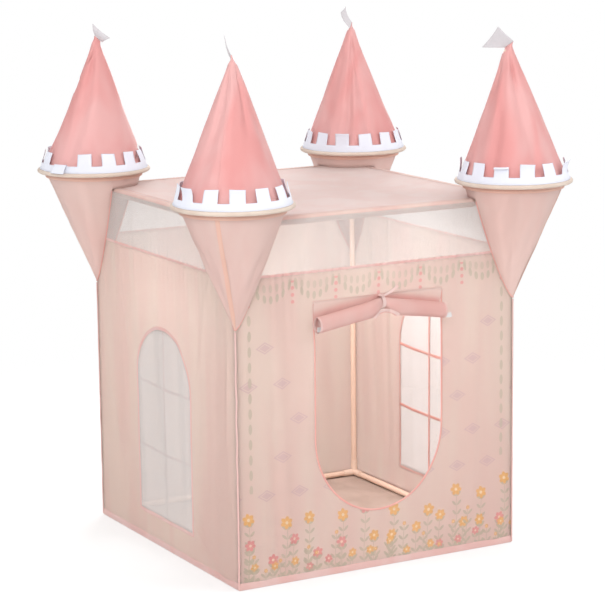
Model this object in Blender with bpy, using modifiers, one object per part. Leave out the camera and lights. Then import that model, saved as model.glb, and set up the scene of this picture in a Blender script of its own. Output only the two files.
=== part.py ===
"""A castle-shaped play tent for children: four cloth walls on a frame of push-fit plastic tubes,
a flat roof, and a round tower with a pointed roof and a flag at each corner.

Metres, +Z up. The origin is on the floor, in the middle of the square footprint.
The doorway is in the wall that faces -Y.
"""

import math

import bmesh
import bpy
from mathutils import Matrix, Vector

# Overall sizes
SIDE = 1.000
ROOF_HEIGHT = 1.140
CLOTH = 0.001
GAP = 0.0003
OVERRUN = 0.020
MERGE_DISTANCE = 0.00003

# Tube frame
TUBE_RADIUS = 0.0095
TUBE_WALL = 0.0015
SOCKET_WALL = 0.0020
SOCKET_DEPTH = 0.030
SOCKET_FLOOR = 0.014
HUB_BULGE = 0.0010
POST_JOINT_HEIGHT = 0.548
SPIGOT_LENGTH = 0.040
POLE_RADIUS = 0.0065
POLE_WALL = 0.0012
POLE_KNOB_RADIUS = 0.0150

# Towers: wire hoop in its casing, pointed roof, crenellated band, flag
HOOP_HEIGHT = 1.190
HOOP_RADIUS = 0.1805
HOOP_THICKNESS = 0.0130
HOOP_OUTSET = 0.0145
CONE_APEX_HEIGHT = 1.640
CONE_TIP_OUTER_RADIUS = 0.0062
CONE_TIP_INNER_RADIUS = 0.0108
CONE_FOLD_DEPTH = 0.0025
BAND_INSET = 0.0030
BAND_STRIP = 0.023
MERLON_HEIGHT = 0.041
BAND_LEAN = 0.010
FLAG_ROOT = 0.034
FLAG_EDGE = 0.080
FLAG_LENGTH = 0.062
FLAG_THICKNESS = 0.0012
FLAG_CURL = 0.008
FLAG_DIP = 0.004

# Funnels under the towers, sewn into the walls and the roof
FUNNEL_TIP_HEIGHT = 0.813
FUNNEL_TOP_DROP = 0.010
FUNNEL_TOP_RADIUS = 0.158

# Walls
WALL_FOLD_DEPTH = 0.006
FOLD_FADE = 0.070
NET_SEAM_HEIGHT = 0.966

# Doorway and windows
DOOR_WIDTH = 0.460
DOOR_HEAD_HEIGHT = 0.868
DOOR_SPRING_HEIGHT = 0.440
DOOR_SILL_HEIGHT = 0.186
WINDOW_WIDTH = 0.380
WINDOW_SILL_HEIGHT = 0.103
WINDOW_SPRING_HEIGHT = 0.545
WINDOW_APEX_HEIGHT = 0.728
MUNTIN_WIDTH = 0.012
MUNTIN_THICKNESS = 0.0010

# Rolled door flap and its tie
FLAP_SEAM = 0.006
ROLL_LENGTH = 0.472
ROLL_RADIUS = 0.026
ROLL_END_DROP = 0.072
ROLL_MIDDLE_DROP = 0.024
ROLL_PITCH = 0.0050
ROLL_PINCH_WIDTH = 0.110
TIE_WIDTH = 0.010
TIE_THICKNESS = 0.0010

# Shares and counts
FUNNEL_BULGE_SHARE = 0.75
FOLD_FLOOR_SHARE = 0.3
WALL_FOLDS = 7
MUNTIN_HEIGHT_SHARES = (0.355, 0.70)
ROLL_PINCH_SHARE = 0.58
MERLON_SHARE = 0.58
MERLONS = 13
ROLL_TURNS = 2.25
ROUND = 12
CONE_SEGMENTS = 28
CONE_FOLDS = 7
HOOP_SEGMENTS = 28
HOOP_SIDES = 6
ARC_STEPS = 10
FRONT_OF_TIE = 300

# Where the towers' flags blow to: the angle above level, and the lean out of the diagonal plane
FLAG_ANGLES = {
    "front_left": (78, 16),
    "front_right": (22, 0),
    "back_left": (66, -40),
    "back_right": (74, -30),
}

# Worked out from the sizes above
HALF = SIDE / 2
SOCKET_RADIUS = TUBE_RADIUS + GAP + SOCKET_WALL
SOCKET_REACH = SOCKET_FLOOR + SOCKET_DEPTH
HUB_RADIUS = SOCKET_RADIUS + HUB_BULGE
SLEEVE_RADIUS = HUB_RADIUS
AXIS_INSET = CLOTH + GAP + HUB_RADIUS
AXIS = HALF - AXIS_INSET
BASE_AXIS_HEIGHT = CLOTH + GAP + HUB_RADIUS
ROOF_AXIS_HEIGHT = ROOF_HEIGHT - SLEEVE_RADIUS
HOOP_AXIS = AXIS + HOOP_OUTSET
HOOP_INSET = HALF - HOOP_AXIS
HOOP_TUBE_RADIUS = HOOP_THICKNESS / 2
HOOP_UNDERSIDE = HOOP_HEIGHT - HOOP_TUBE_RADIUS * math.cos(math.pi / HOOP_SIDES)
FUNNEL_TOP_HEIGHT = HOOP_HEIGHT - FUNNEL_TOP_DROP
FUNNEL_RIM_HEIGHT = HOOP_UNDERSIDE - GAP - CLOTH
ROOF_CLOTH_TOP = ROOF_HEIGHT - CLOTH / 2
CONE_FOOT_RADIUS = HOOP_RADIUS - HOOP_TUBE_RADIUS - GAP
CONE_SLOPE = CONE_FOOT_RADIUS / (CONE_APEX_HEIGHT - HOOP_HEIGHT)
CONE_LEAN = math.sqrt(2) * HOOP_OUTSET / (CONE_APEX_HEIGHT - HOOP_HEIGHT)
CONE_CUT_OUTER_DROP = CONE_TIP_OUTER_RADIUS / CONE_SLOPE
CONE_CUT_INNER_DROP = CONE_TIP_INNER_RADIUS / CONE_SLOPE
CONE_CUT_OUTER_HEIGHT = CONE_APEX_HEIGHT - CONE_CUT_OUTER_DROP
DOOR_HALF = DOOR_WIDTH / 2
FLAP_SEAM_HEIGHT = DOOR_HEAD_HEIGHT + FLAP_SEAM
FLAP_STAND_OFF = CLOTH / 2 + GAP + TIE_THICKNESS + GAP
WINDOW_HALF = WINDOW_WIDTH / 2

# The corners, anticlockwise from the front left, with the turn that each needs
CORNERS = (
    ("front_left", -1, -1, 0),
    ("front_right", 1, -1, 90),
    ("back_right", 1, 1, 180),
    ("back_left", -1, 1, 270),
)
# The sides, with the turn that brings the front one there
SIDES = (("front", 0), ("right", 90), ("back", 180), ("left", 270))

for old in list(bpy.data.objects):
    bpy.data.objects.remove(old, do_unlink=True)

parts = bpy.data.collections.new("castle_play_tent")
cutters = bpy.data.collections.new("cutters")
bpy.context.scene.collection.children.link(parts)
bpy.context.scene.collection.children.link(cutters)


def material(name, colour, roughness, metallic=0.0):
    made = bpy.data.materials.new(name)
    made.use_nodes = True
    shader = made.node_tree.nodes["Principled BSDF"]
    shader.inputs["Base Color"].default_value = (*colour, 1.0)
    shader.inputs["Roughness"].default_value = roughness
    shader.inputs["Metallic"].default_value = metallic
    return made


TUBE_PLASTIC = material("cream_tube_plastic", (0.78, 0.66, 0.55), 0.45)
JOINT_PLASTIC = material("white_moulded_plastic", (0.84, 0.80, 0.76), 0.40)
HOOP_CASING = material("cream_hoop_casing", (0.80, 0.69, 0.58), 0.60)
WALL_CLOTH = material("peach_wall_cloth", (0.80, 0.57, 0.50), 0.80)
ROOF_CLOTH = material("pale_peach_roof_cloth", (0.83, 0.58, 0.49), 0.80)
FUNNEL_CLOTH = material("sheer_pink_funnel_cloth", (0.80, 0.50, 0.43), 0.70)
CONE_CLOTH = material("coral_pink_cone_cloth", (0.80, 0.34, 0.31), 0.65)
BAND_FELT = material("white_felt", (0.86, 0.83, 0.92), 0.90)
FLAG_FELT = material("grey_white_felt", (0.60, 0.59, 0.60), 0.90)
NET = material("white_net", (0.76, 0.66, 0.62), 0.90)
FLAP_CLOTH = material("pink_flap_lining", (0.80, 0.45, 0.40), 0.75)
TIE_RIBBON = material("light_pink_ribbon", (0.88, 0.57, 0.52), 0.60)
FLOOR_CLOTH = material("beige_floor_cloth", (0.68, 0.52, 0.44), 0.85)


def add(name, mesh, finish, collection=parts):
    """An object around a mesh, with the one material that it shows."""
    obj = bpy.data.objects.new(name, mesh)
    collection.objects.link(obj)
    if finish:
        mesh.materials.clear()
        mesh.materials.append(finish)
    return obj


def add_cutter(name, mesh):
    obj = add(name, mesh, None, cutters)
    obj.hide_render = True
    obj.display_type = "WIRE"
    return obj


def finish_mesh(name, bm, closed=True):
    """A mesh from a bmesh. An open sheet keeps the facing that its rows give it."""
    if closed:
        bmesh.ops.recalc_face_normals(bm, faces=bm.faces)
    mesh = bpy.data.meshes.new(name)
    bm.to_mesh(mesh)
    bm.free()
    return mesh


def smooth(mesh, angle=math.radians(35)):
    mesh.shade_smooth()
    mesh.set_sharp_from_angle(angle=angle)
    return mesh


def evaluated_mesh(obj):
    """The object's mesh with its modifiers applied, for the copies to share."""
    graph = bpy.context.evaluated_depsgraph_get()
    return bpy.data.meshes.new_from_object(obj.evaluated_get(graph))


def boolean(obj, cutter, operation="DIFFERENCE"):
    modifier = obj.modifiers.new(cutter.name, "BOOLEAN")
    modifier.object = cutter
    modifier.operation = operation
    modifier.solver = "EXACT"
    return modifier


def solidify(obj, thickness, offset):
    modifier = obj.modifiers.new("thickness", "SOLIDIFY")
    modifier.thickness = thickness
    modifier.offset = offset
    return modifier


def cylinder_mesh(name, radius, low, high, segments=ROUND, turn=None):
    """A closed cylinder along +Z from low to high, turned by a matrix."""
    bm = bmesh.new()
    bmesh.ops.create_cone(
        bm, cap_ends=True, segments=segments, radius1=radius, radius2=radius, depth=high - low
    )
    bmesh.ops.translate(bm, verts=bm.verts, vec=(0, 0, (low + high) / 2))
    if turn:
        bmesh.ops.transform(bm, verts=bm.verts, matrix=turn)
    return finish_mesh(name, bm)


def turned_object(name, profile, finish):
    """A profile of (radius, height) points, down the outer side first, turned about +Z."""
    mesh = bpy.data.meshes.new(name)
    points = [(radius, 0, height) for radius, height in profile]
    edges = [(i, i + 1) for i in range(len(points) - 1)]
    if profile[0][0] > 0:
        edges.append((len(points) - 1, 0))
    mesh.from_pydata(points, edges, [])
    obj = add(name, mesh, finish)
    screw = obj.modifiers.new("turn", "SCREW")
    screw.steps = ROUND
    screw.render_steps = ROUND
    screw.use_merge_vertices = True
    screw.merge_threshold = MERGE_DISTANCE
    return obj


def prism_mesh(name, outline, low, high):
    """A flat outline of (x, z) points, pushed through from y = low to y = high."""
    bm = bmesh.new()
    face = bm.faces.new([bm.verts.new((x, low, z)) for x, z in outline])
    pushed = bmesh.ops.extrude_face_region(bm, geom=[face])
    moved = [item for item in pushed["geom"] if isinstance(item, bmesh.types.BMVert)]
    bmesh.ops.translate(bm, verts=moved, vec=(0, high - low, 0))
    return finish_mesh(name, bm)


def sheet_mesh(name, *groups):
    """An open sheet through groups of rows. Its face is outwards where rows run anticlockwise, going up."""
    bm = bmesh.new()
    for rows in groups:
        lines = [[bm.verts.new(point) for point in row] for row in rows]
        for lower, upper in zip(lines, lines[1:]):
            for i in range(len(lower) - 1):
                bm.faces.new((lower[i], lower[i + 1], upper[i + 1], upper[i]))
    bmesh.ops.remove_doubles(bm, verts=bm.verts, dist=MERGE_DISTANCE)
    bmesh.ops.dissolve_degenerate(bm, edges=bm.edges, dist=MERGE_DISTANCE)
    return finish_mesh(name, bm, closed=False)


def turn_about_z(degrees):
    return Matrix.Rotation(math.radians(degrees), 4, "Z")


def place(obj, x, y, degrees=0, z=0.0):
    obj.location = (x, y, z)
    obj.rotation_euler = (0, 0, math.radians(degrees))
    return obj


def ease(value):
    """0 to 1, level at both ends."""
    value = min(max(value, 0.0), 1.0)
    return value * value * (3 - 2 * value)


# Corner joints


def corner_joint_mesh(name, arms):
    """A moulded hub with a socket for each tube: arms are (direction, tube radius)."""
    bm = bmesh.new()
    bmesh.ops.create_uvsphere(bm, u_segments=ROUND, v_segments=ROUND // 2, radius=HUB_RADIUS)
    body = add_cutter(name + "_body", finish_mesh(name, bm))
    for index, (direction, tube) in enumerate(arms):
        turn = Vector((0, 0, 1)).rotation_difference(Vector(direction)).to_matrix().to_4x4()
        bore = tube + GAP
        arm = cylinder_mesh(f"{name}_arm_{index}", bore + SOCKET_WALL, 0, SOCKET_REACH, turn=turn)
        boolean(body, add_cutter(arm.name, arm), "UNION")
    for index, (direction, tube) in enumerate(arms):
        turn = Vector((0, 0, 1)).rotation_difference(Vector(direction)).to_matrix().to_4x4()
        bore = cylinder_mesh(
            f"{name}_bore_{index}", tube + GAP, SOCKET_FLOOR, SOCKET_REACH + OVERRUN, turn=turn
        )
        boolean(body, add_cutter(bore.name, bore))
    return smooth(evaluated_mesh(body))


def make_corner_joints():
    base_arms = [((1, 0, 0), TUBE_RADIUS), ((0, 1, 0), TUBE_RADIUS), ((0, 0, 1), TUBE_RADIUS)]
    roof_arms = base_arms[:2] + [((0, 0, -1), TUBE_RADIUS), ((0, 0, 1), POLE_RADIUS)]
    base = corner_joint_mesh("base_joint", base_arms)
    roof = corner_joint_mesh("roof_joint", roof_arms)
    for corner, x, y, turn in CORNERS:
        place(
            add("base_joint_" + corner, base, JOINT_PLASTIC),
            x * AXIS, y * AXIS, turn, BASE_AXIS_HEIGHT,
        )
        place(
            add("roof_joint_" + corner, roof, JOINT_PLASTIC),
            x * AXIS, y * AXIS, turn, ROOF_AXIS_HEIGHT,
        )


# Tubes, each seated on the floor of its sockets


def tube_profile(radius, wall, low, high, spigot=0.0):
    inner = radius - wall
    if not spigot:
        return [(radius, high), (radius, low), (inner, low), (inner, high)]
    outside = inner - GAP
    inside = outside - wall
    return [
        (outside, high + spigot),
        (outside, high),
        (radius, high),
        (radius, low),
        (inner, low),
        (inner, high - wall),
        (inside, high),
        (inside, high + spigot),
    ]


def make_rails(prefix, height):
    """The four level tubes of the base or of the roof."""
    half = AXIS - SOCKET_FLOOR - GAP
    for side, turn in SIDES:
        rail = turned_object(
            f"{prefix}_{side}", tube_profile(TUBE_RADIUS, TUBE_WALL, -half, half), TUBE_PLASTIC
        )
        spot = turn_about_z(turn) @ Vector((0, -AXIS, height))
        rail.location = spot
        rail.rotation_euler = (0, math.radians(90), math.radians(turn))


def make_posts():
    """Each corner post is two tubes, joined by the lower one's reduced end."""
    foot = BASE_AXIS_HEIGHT + SOCKET_FLOOR + GAP
    head = ROOF_AXIS_HEIGHT - SOCKET_FLOOR - GAP
    for corner, x, y, turn in CORNERS:
        lower = tube_profile(TUBE_RADIUS, TUBE_WALL, foot, POST_JOINT_HEIGHT, SPIGOT_LENGTH)
        upper = tube_profile(TUBE_RADIUS, TUBE_WALL, POST_JOINT_HEIGHT + GAP, head)
        place(turned_object("lower_post_" + corner, lower, TUBE_PLASTIC), x * AXIS, y * AXIS)
        place(turned_object("upper_post_" + corner, upper, TUBE_PLASTIC), x * AXIS, y * AXIS)


def knob_centre_height():
    """Where the round knob on the pole's end meets the inside of the leaning pointed roof."""
    flank = math.atan(CONE_SLOPE - CONE_LEAN)
    return CONE_APEX_HEIGHT - (POLE_KNOB_RADIUS + GAP + CLOTH) / math.sin(flank)


def make_tower_poles():
    """A thinner tube from each roof joint up into the tower's point, with a round knob on it."""
    foot = ROOF_AXIS_HEIGHT + SOCKET_FLOOR + GAP
    centre = knob_centre_height()
    neck = math.asin(POLE_RADIUS / POLE_KNOB_RADIUS)
    angles = [(math.pi - neck) * step / ARC_STEPS * 2 for step in range(ARC_STEPS // 2 + 1)]
    knob = [
        (POLE_KNOB_RADIUS * math.sin(angle), centre + POLE_KNOB_RADIUS * math.cos(angle))
        for angle in angles
    ]
    knob[0] = (0, centre + POLE_KNOB_RADIUS)
    bore_top = centre - POLE_KNOB_RADIUS
    inner = POLE_RADIUS - POLE_WALL
    profile = knob + [(POLE_RADIUS, foot), (inner, foot), (inner, bore_top), (0, bore_top)]
    for corner, x, y, turn in CORNERS:
        place(turned_object("tower_pole_" + corner, profile, TUBE_PLASTIC), x * AXIS, y * AXIS)


# Towers. In a tower's own frame the tent's middle lies towards (1, 1). The cloth draws each hoop
# outwards from its pole, so the pointed roof leans back to the pole's end


def make_hoops():
    bm = bmesh.new()
    rings = []
    for i in range(HOOP_SEGMENTS):
        around = 2 * math.pi * i / HOOP_SEGMENTS
        ring = []
        for k in range(HOOP_SIDES):
            angle = 2 * math.pi * k / HOOP_SIDES
            radius = HOOP_RADIUS + HOOP_TUBE_RADIUS * math.cos(angle)
            height = HOOP_TUBE_RADIUS * math.sin(angle)
            ring.append(bm.verts.new((radius * math.cos(around), radius * math.sin(around), height)))
        rings.append(ring)
    for i, ring in enumerate(rings):
        following = rings[(i + 1) % HOOP_SEGMENTS]
        for k in range(HOOP_SIDES):
            m = (k + 1) % HOOP_SIDES
            bm.faces.new((ring[k], following[k], following[m], ring[m]))
    mesh = smooth(finish_mesh("hoop", bm), math.radians(70))
    for corner, x, y, turn in CORNERS:
        hoop = add("hoop_" + corner, mesh, HOOP_CASING)
        place(hoop, x * HOOP_AXIS, y * HOOP_AXIS, turn, HOOP_HEIGHT)


def cone_cut_height(angle):
    """The height of the slanted cut at the tip, at an angle from the tent's middle."""
    drop = CONE_CUT_INNER_DROP - CONE_CUT_OUTER_DROP
    slant = drop / (CONE_TIP_OUTER_RADIUS + CONE_TIP_INNER_RADIUS)
    level = CONE_CUT_OUTER_HEIGHT - slant * CONE_TIP_OUTER_RADIUS
    tilt = slant * CONE_SLOPE * math.cos(angle)
    return (level - tilt * CONE_APEX_HEIGHT) / (1 - tilt)


def make_cones():
    """The pointed roofs: a cloth cone with soft folds, cut on a slant at its tip."""
    row_shares = (0, 0.3, 0.65, 1)
    rows = []
    for share in row_shares:
        row = []
        for i in range(CONE_SEGMENTS + 1):
            around = 2 * math.pi * i / CONE_SEGMENTS
            top = cone_cut_height(around - math.pi / 4)
            height = HOOP_HEIGHT + share * (top - HOOP_HEIGHT)
            fold = CONE_FOLD_DEPTH * math.sin(math.pi * share) * math.cos(CONE_FOLDS * around)
            radius = CONE_SLOPE * (CONE_APEX_HEIGHT - height) + fold
            lean = CONE_LEAN * (height - HOOP_HEIGHT) / math.sqrt(2)
            row.append((radius * math.cos(around) + lean, radius * math.sin(around) + lean, height))
        rows.append(row)
    mesh = smooth(sheet_mesh("cone", rows), math.radians(80))
    for corner, x, y, turn in CORNERS:
        cone = add("cone_" + corner, mesh, CONE_CLOTH)
        place(cone, x * HOOP_AXIS, y * HOOP_AXIS, turn)
        solidify(cone, CLOTH, -1)


def make_bands():
    """The crenellated band that stands on the hoop, outside the cone."""
    bm = bmesh.new()
    foot_radius = HOOP_RADIUS - BAND_INSET
    seat = math.sqrt(HOOP_TUBE_RADIUS**2 - BAND_INSET**2) + GAP
    levels = (seat, seat + BAND_STRIP, seat + BAND_STRIP + MERLON_HEIGHT)
    shares = (0, MERLON_SHARE / 2, MERLON_SHARE)
    columns = []
    for merlon in range(MERLONS):
        for share in shares:
            around = 2 * math.pi * (merlon + share) / MERLONS
            column = []
            for level in levels:
                radius = foot_radius - BAND_LEAN * (level - seat) / (levels[2] - seat)
                column.append(
                    bm.verts.new((radius * math.cos(around), radius * math.sin(around), level))
                )
            columns.append(column)
    for i, column in enumerate(columns):
        following = columns[(i + 1) % len(columns)]
        bm.faces.new((column[0], following[0], following[1], column[1]))
        if i % len(shares) < len(shares) - 1:
            bm.faces.new((column[1], following[1], following[2], column[2]))
    loose = [vert for vert in bm.verts if not vert.link_faces]
    bmesh.ops.delete(bm, geom=loose, context="VERTS")
    mesh = smooth(finish_mesh("band", bm, closed=False))
    for corner, x, y, turn in CORNERS:
        band = add("crenellated_band_" + corner, mesh, BAND_FELT)
        place(band, x * HOOP_AXIS, y * HOOP_AXIS, turn, HOOP_HEIGHT)
        solidify(band, CLOTH, -1)


def make_flags():
    """A felt pennant sewn to the slanted cut of each cone, in the plane of the tent's diagonal."""
    outer = (CONE_SLOPE + CONE_LEAN) * CONE_CUT_OUTER_DROP
    inner = (CONE_SLOPE - CONE_LEAN) * CONE_CUT_INNER_DROP
    along = Vector((inner + outer, 0, CONE_CUT_OUTER_DROP - CONE_CUT_INNER_DROP)).normalized()
    clear_of_cut = Vector((-along.z, 0, along.x)) * (FLAG_THICKNESS / 2 + GAP)
    start = Vector((-outer, 0, CONE_CUT_OUTER_HEIGHT)) + clear_of_cut
    row_shares = (0, 0.25, 0.5, 0.75, 1)
    column_shares = (0, 0.25, 0.5, 0.75, 1)
    for corner, x, y, turn in CORNERS:
        lift, lean = (math.radians(angle) for angle in FLAG_ANGLES[corner])
        blow = Vector((math.cos(lift), 0, math.sin(lift)))
        blow.rotate(Matrix.Rotation(lean, 3, along))
        across = Matrix.Rotation(lean, 3, along) @ Vector((0, 1, 0))
        edge_along = blow.cross(across).normalized()
        rows = []
        for row in row_shares:
            middle = start + along * FLAG_ROOT / 2 + blow * FLAG_LENGTH * row
            half = (FLAG_ROOT + (FLAG_EDGE - FLAG_ROOT) * row) / 2
            direction = along.lerp(-edge_along, ease(row)).normalized()
            curl = across * FLAG_CURL * math.sin(math.pi * row)
            dip = blow * FLAG_DIP * row
            rows.append([
                middle + curl + direction * half * (2 * share - 1)
                - dip * (1 - (2 * share - 1) ** 2)
                for share in column_shares
            ])
        flag = add("flag_" + corner, smooth(sheet_mesh("flag_" + corner, rows)), FLAG_FELT)
        place(flag, x * AXIS, y * AXIS, turn + 45)
        solidify(flag, FLAG_THICKNESS, 0)


# Funnels. The same seam shapes the funnel's edge and the walls that it is sewn to


def wall_direction():
    """The angle, outwards of the wall, at which the funnel's top crosses the wall's plane."""
    return math.asin(HOOP_INSET / FUNNEL_TOP_RADIUS)


def seam_reach():
    """How far from the tent's corner the top of the funnel crosses the wall's plane."""
    return FUNNEL_TOP_RADIUS * math.cos(wall_direction()) + HOOP_INSET


def seam_share(height):
    return (height - FUNNEL_TIP_HEIGHT) / (FUNNEL_TOP_HEIGHT - FUNNEL_TIP_HEIGHT)


def seam_distance(height):
    """How far from the tent's corner the funnel leaves the wall, at a height."""
    return seam_reach() * max(seam_share(height), 0.0) ** FUNNEL_BULGE_SHARE


def around_tower(angle, radius, height):
    return Vector((radius * math.cos(angle), radius * math.sin(angle), height))


def funnel_rows():
    """Rows from the tip up to the rim under the hoop. The second group bridges the roof's cut corner."""
    shares = (0, 0.05, 0.17, 0.40, seam_share(ROOF_HEIGHT), 1)
    outer_steps, inner_steps = 18, 6
    start = math.pi / 2 + wall_direction()
    sweep = 2 * (math.pi - start) + math.pi / 2
    outer = [start + sweep * i / outer_steps for i in range(outer_steps + 1)]
    inner = [
        outer[-1] + (2 * math.pi - sweep) * i / inner_steps for i in range(1, inner_steps)
    ]
    tip = Vector((-HOOP_INSET, -HOOP_INSET, FUNNEL_TIP_HEIGHT))
    rows = []
    for share in shares:
        row = []
        for i, angle in enumerate(outer):
            top = around_tower(angle, FUNNEL_TOP_RADIUS, FUNNEL_TOP_HEIGHT)
            from_wall = min(i, outer_steps - i) / (outer_steps / 4)
            power = FUNNEL_BULGE_SHARE + (1 - FUNNEL_BULGE_SHARE) * ease(from_wall)
            spot = tip + (top - tip) * share**power
            spot.z = tip.z + (top.z - tip.z) * share
            row.append(spot)
        rows.append(row)
    rows.append([around_tower(angle, HOOP_RADIUS, FUNNEL_RIM_HEIGHT) for angle in outer])
    on_roof = []
    for i in range(1, inner_steps):
        spot = rows[-3][-1].lerp(rows[-3][0], i / inner_steps)
        spot.z = ROOF_CLOTH_TOP + GAP
        on_roof.append(spot)
    bridges = (
        on_roof,
        [around_tower(angle, FUNNEL_TOP_RADIUS, FUNNEL_TOP_HEIGHT) for angle in inner],
        [around_tower(angle, HOOP_RADIUS, FUNNEL_RIM_HEIGHT) for angle in inner],
    )
    over_roof = [[row[-1], *bridge, row[0]] for row, bridge in zip(rows[-3:], bridges)]
    return rows, over_roof


def make_funnels():
    mesh = smooth(sheet_mesh("funnel", *funnel_rows()), math.radians(60))
    for corner, x, y, turn in CORNERS:
        funnel = add("funnel_" + corner, mesh, FUNNEL_CLOTH)
        place(funnel, x * HOOP_AXIS, y * HOOP_AXIS, turn)
        solidify(funnel, CLOTH, -1)


# Walls. Each is one sewn panel, cloth below and a strip of net under the roof


def door_outline():
    """A doorway with a round sill: an upright rectangle over half an ellipse."""
    drop = DOOR_SPRING_HEIGHT - DOOR_SILL_HEIGHT
    steps = 2 * ARC_STEPS
    sill = [
        (
            DOOR_HALF * math.cos(math.pi + math.pi * i / steps),
            DOOR_SPRING_HEIGHT + drop * math.sin(math.pi + math.pi * i / steps),
        )
        for i in range(steps + 1)
    ]
    return sill + [(DOOR_HALF, DOOR_HEAD_HEIGHT), (-DOOR_HALF, DOOR_HEAD_HEIGHT)]


def rectangle(left, right, low, high):
    return [(left, low), (right, low), (right, high), (left, high)]


def window_outline(clearance=0.0):
    """A window with an upright lower part and an arched head."""
    half = WINDOW_HALF - clearance
    rise = WINDOW_APEX_HEIGHT - WINDOW_SPRING_HEIGHT - clearance
    steps = 2 * ARC_STEPS
    arch = [
        (
            half * math.cos(math.pi * i / steps),
            WINDOW_SPRING_HEIGHT + rise * math.sin(math.pi * i / steps),
        )
        for i in range(steps + 1)
    ]
    sill = WINDOW_SILL_HEIGHT + clearance
    return arch + [(-half, sill), (half, sill)]


def corner_outline(side):
    """The piece of a wall's plane that a funnel takes up, at the wall's left or right end."""
    clearance = CLOTH + GAP
    top = ROOF_AXIS_HEIGHT + OVERRUN
    shares = (0, 0.05, 0.16, 0.35, 0.6, 0.8, 1)
    seam = []
    for share in shares:
        height = FUNNEL_TIP_HEIGHT + share * (top - FUNNEL_TIP_HEIGHT)
        seam.append((HALF - seam_distance(height) - clearance, height - clearance))
    outline = [(HALF + OVERRUN, FUNNEL_TIP_HEIGHT - clearance)] + seam + [(HALF + OVERRUN, top)]
    return [(side * x, z) for x, z in outline]


def fold_depth(across, height, opening):
    """How far a fold stands out. Folds fade at the ends, the net and the opening."""
    half, low, high = opening
    clear = max(abs(across) - half, low - height, height - high)
    fade = ease((HALF - FOLD_FADE / 2 - abs(across)) / FOLD_FADE)
    fade *= ease((NET_SEAM_HEIGHT - height) / FOLD_FADE)
    fade *= ease(clear / FOLD_FADE)
    hang = FOLD_FLOOR_SHARE + (1 - FOLD_FLOOR_SHARE) * height / NET_SEAM_HEIGHT
    wave = (1 + math.cos(2 * math.pi * WALL_FOLDS * (across + HALF) / SIDE)) / 2
    return WALL_FOLD_DEPTH * fade * hang * wave


def make_wall(name, turn, half, opening, openings_cut):
    columns = 4 * WALL_FOLDS
    height_shares = (0, 0.12, 0.3, 0.5, 0.68, 0.8, 0.88, 1)
    levels = [NET_SEAM_HEIGHT * share for share in height_shares] + [ROOF_AXIS_HEIGHT]
    rows = []
    for level in levels:
        row = []
        for i in range(columns + 1):
            across = half * (2 * i / columns - 1)
            row.append((across, -HALF - fold_depth(across, level, opening), level))
        rows.append(row)
    wall = add(name, smooth(sheet_mesh(name, rows)), WALL_CLOTH)
    wall.rotation_euler = (0, 0, math.radians(turn))
    solidify(wall, CLOTH, -1)
    for label, outline in openings_cut:
        mesh = prism_mesh(f"{name}_{label}", outline, -HALF - OVERRUN, -HALF + OVERRUN)
        cutter = add_cutter(mesh.name, mesh)
        cutter.rotation_euler = wall.rotation_euler
        boolean(wall, cutter)
    return wall


def make_walls():
    ends = [("left_funnel", corner_outline(-1)), ("right_funnel", corner_outline(1))]
    side_half = HALF - CLOTH - GAP
    around_door = (DOOR_HALF, DOOR_SILL_HEIGHT, DOOR_HEAD_HEIGHT)
    around_window = (WINDOW_HALF, WINDOW_SILL_HEIGHT, WINDOW_APEX_HEIGHT)
    nowhere = (-SIDE, SIDE, -SIDE)
    door = [("doorway", door_outline())]
    window = [("window", window_outline())]
    make_wall("wall_front", 0, HALF, around_door, ends + door)
    make_wall("wall_right", 90, side_half, around_window, ends + window)
    make_wall("wall_back", 180, HALF, nowhere, ends)
    make_wall("wall_left", 270, side_half, around_window, ends + window)


def make_window_nets():
    """A sheet of net in each side window, with ribbons sewn on as glazing bars."""
    edge = window_outline(GAP)
    low, high = -HALF, -HALF + CLOTH
    sill, apex = WINDOW_SILL_HEIGHT, WINDOW_APEX_HEIGHT
    reach = WINDOW_HALF - MUNTIN_WIDTH
    half = MUNTIN_WIDTH / 2
    bars = [rectangle(-half, half, sill + MUNTIN_WIDTH, apex - MUNTIN_WIDTH)]
    for share in MUNTIN_HEIGHT_SHARES:
        height = sill + share * (apex - sill)
        bars.append(rectangle(-reach, reach, height - half, height + half))
    for side, turn in (("right", 90), ("left", 270)):
        net = add("window_net_" + side, prism_mesh("window_net_" + side, edge, low, high), NET)
        net.rotation_euler = (0, 0, math.radians(turn))
        for index, outline in enumerate(bars):
            mesh = prism_mesh(
                f"muntin_{side}_{index}", outline, low - MUNTIN_THICKNESS, low + CLOTH / 2
            )
            bar = add_cutter(mesh.name, mesh)
            bar.rotation_euler = net.rotation_euler
            boolean(net, bar, "UNION")


# Roof, with sleeves for the roof tubes along its edges


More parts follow.
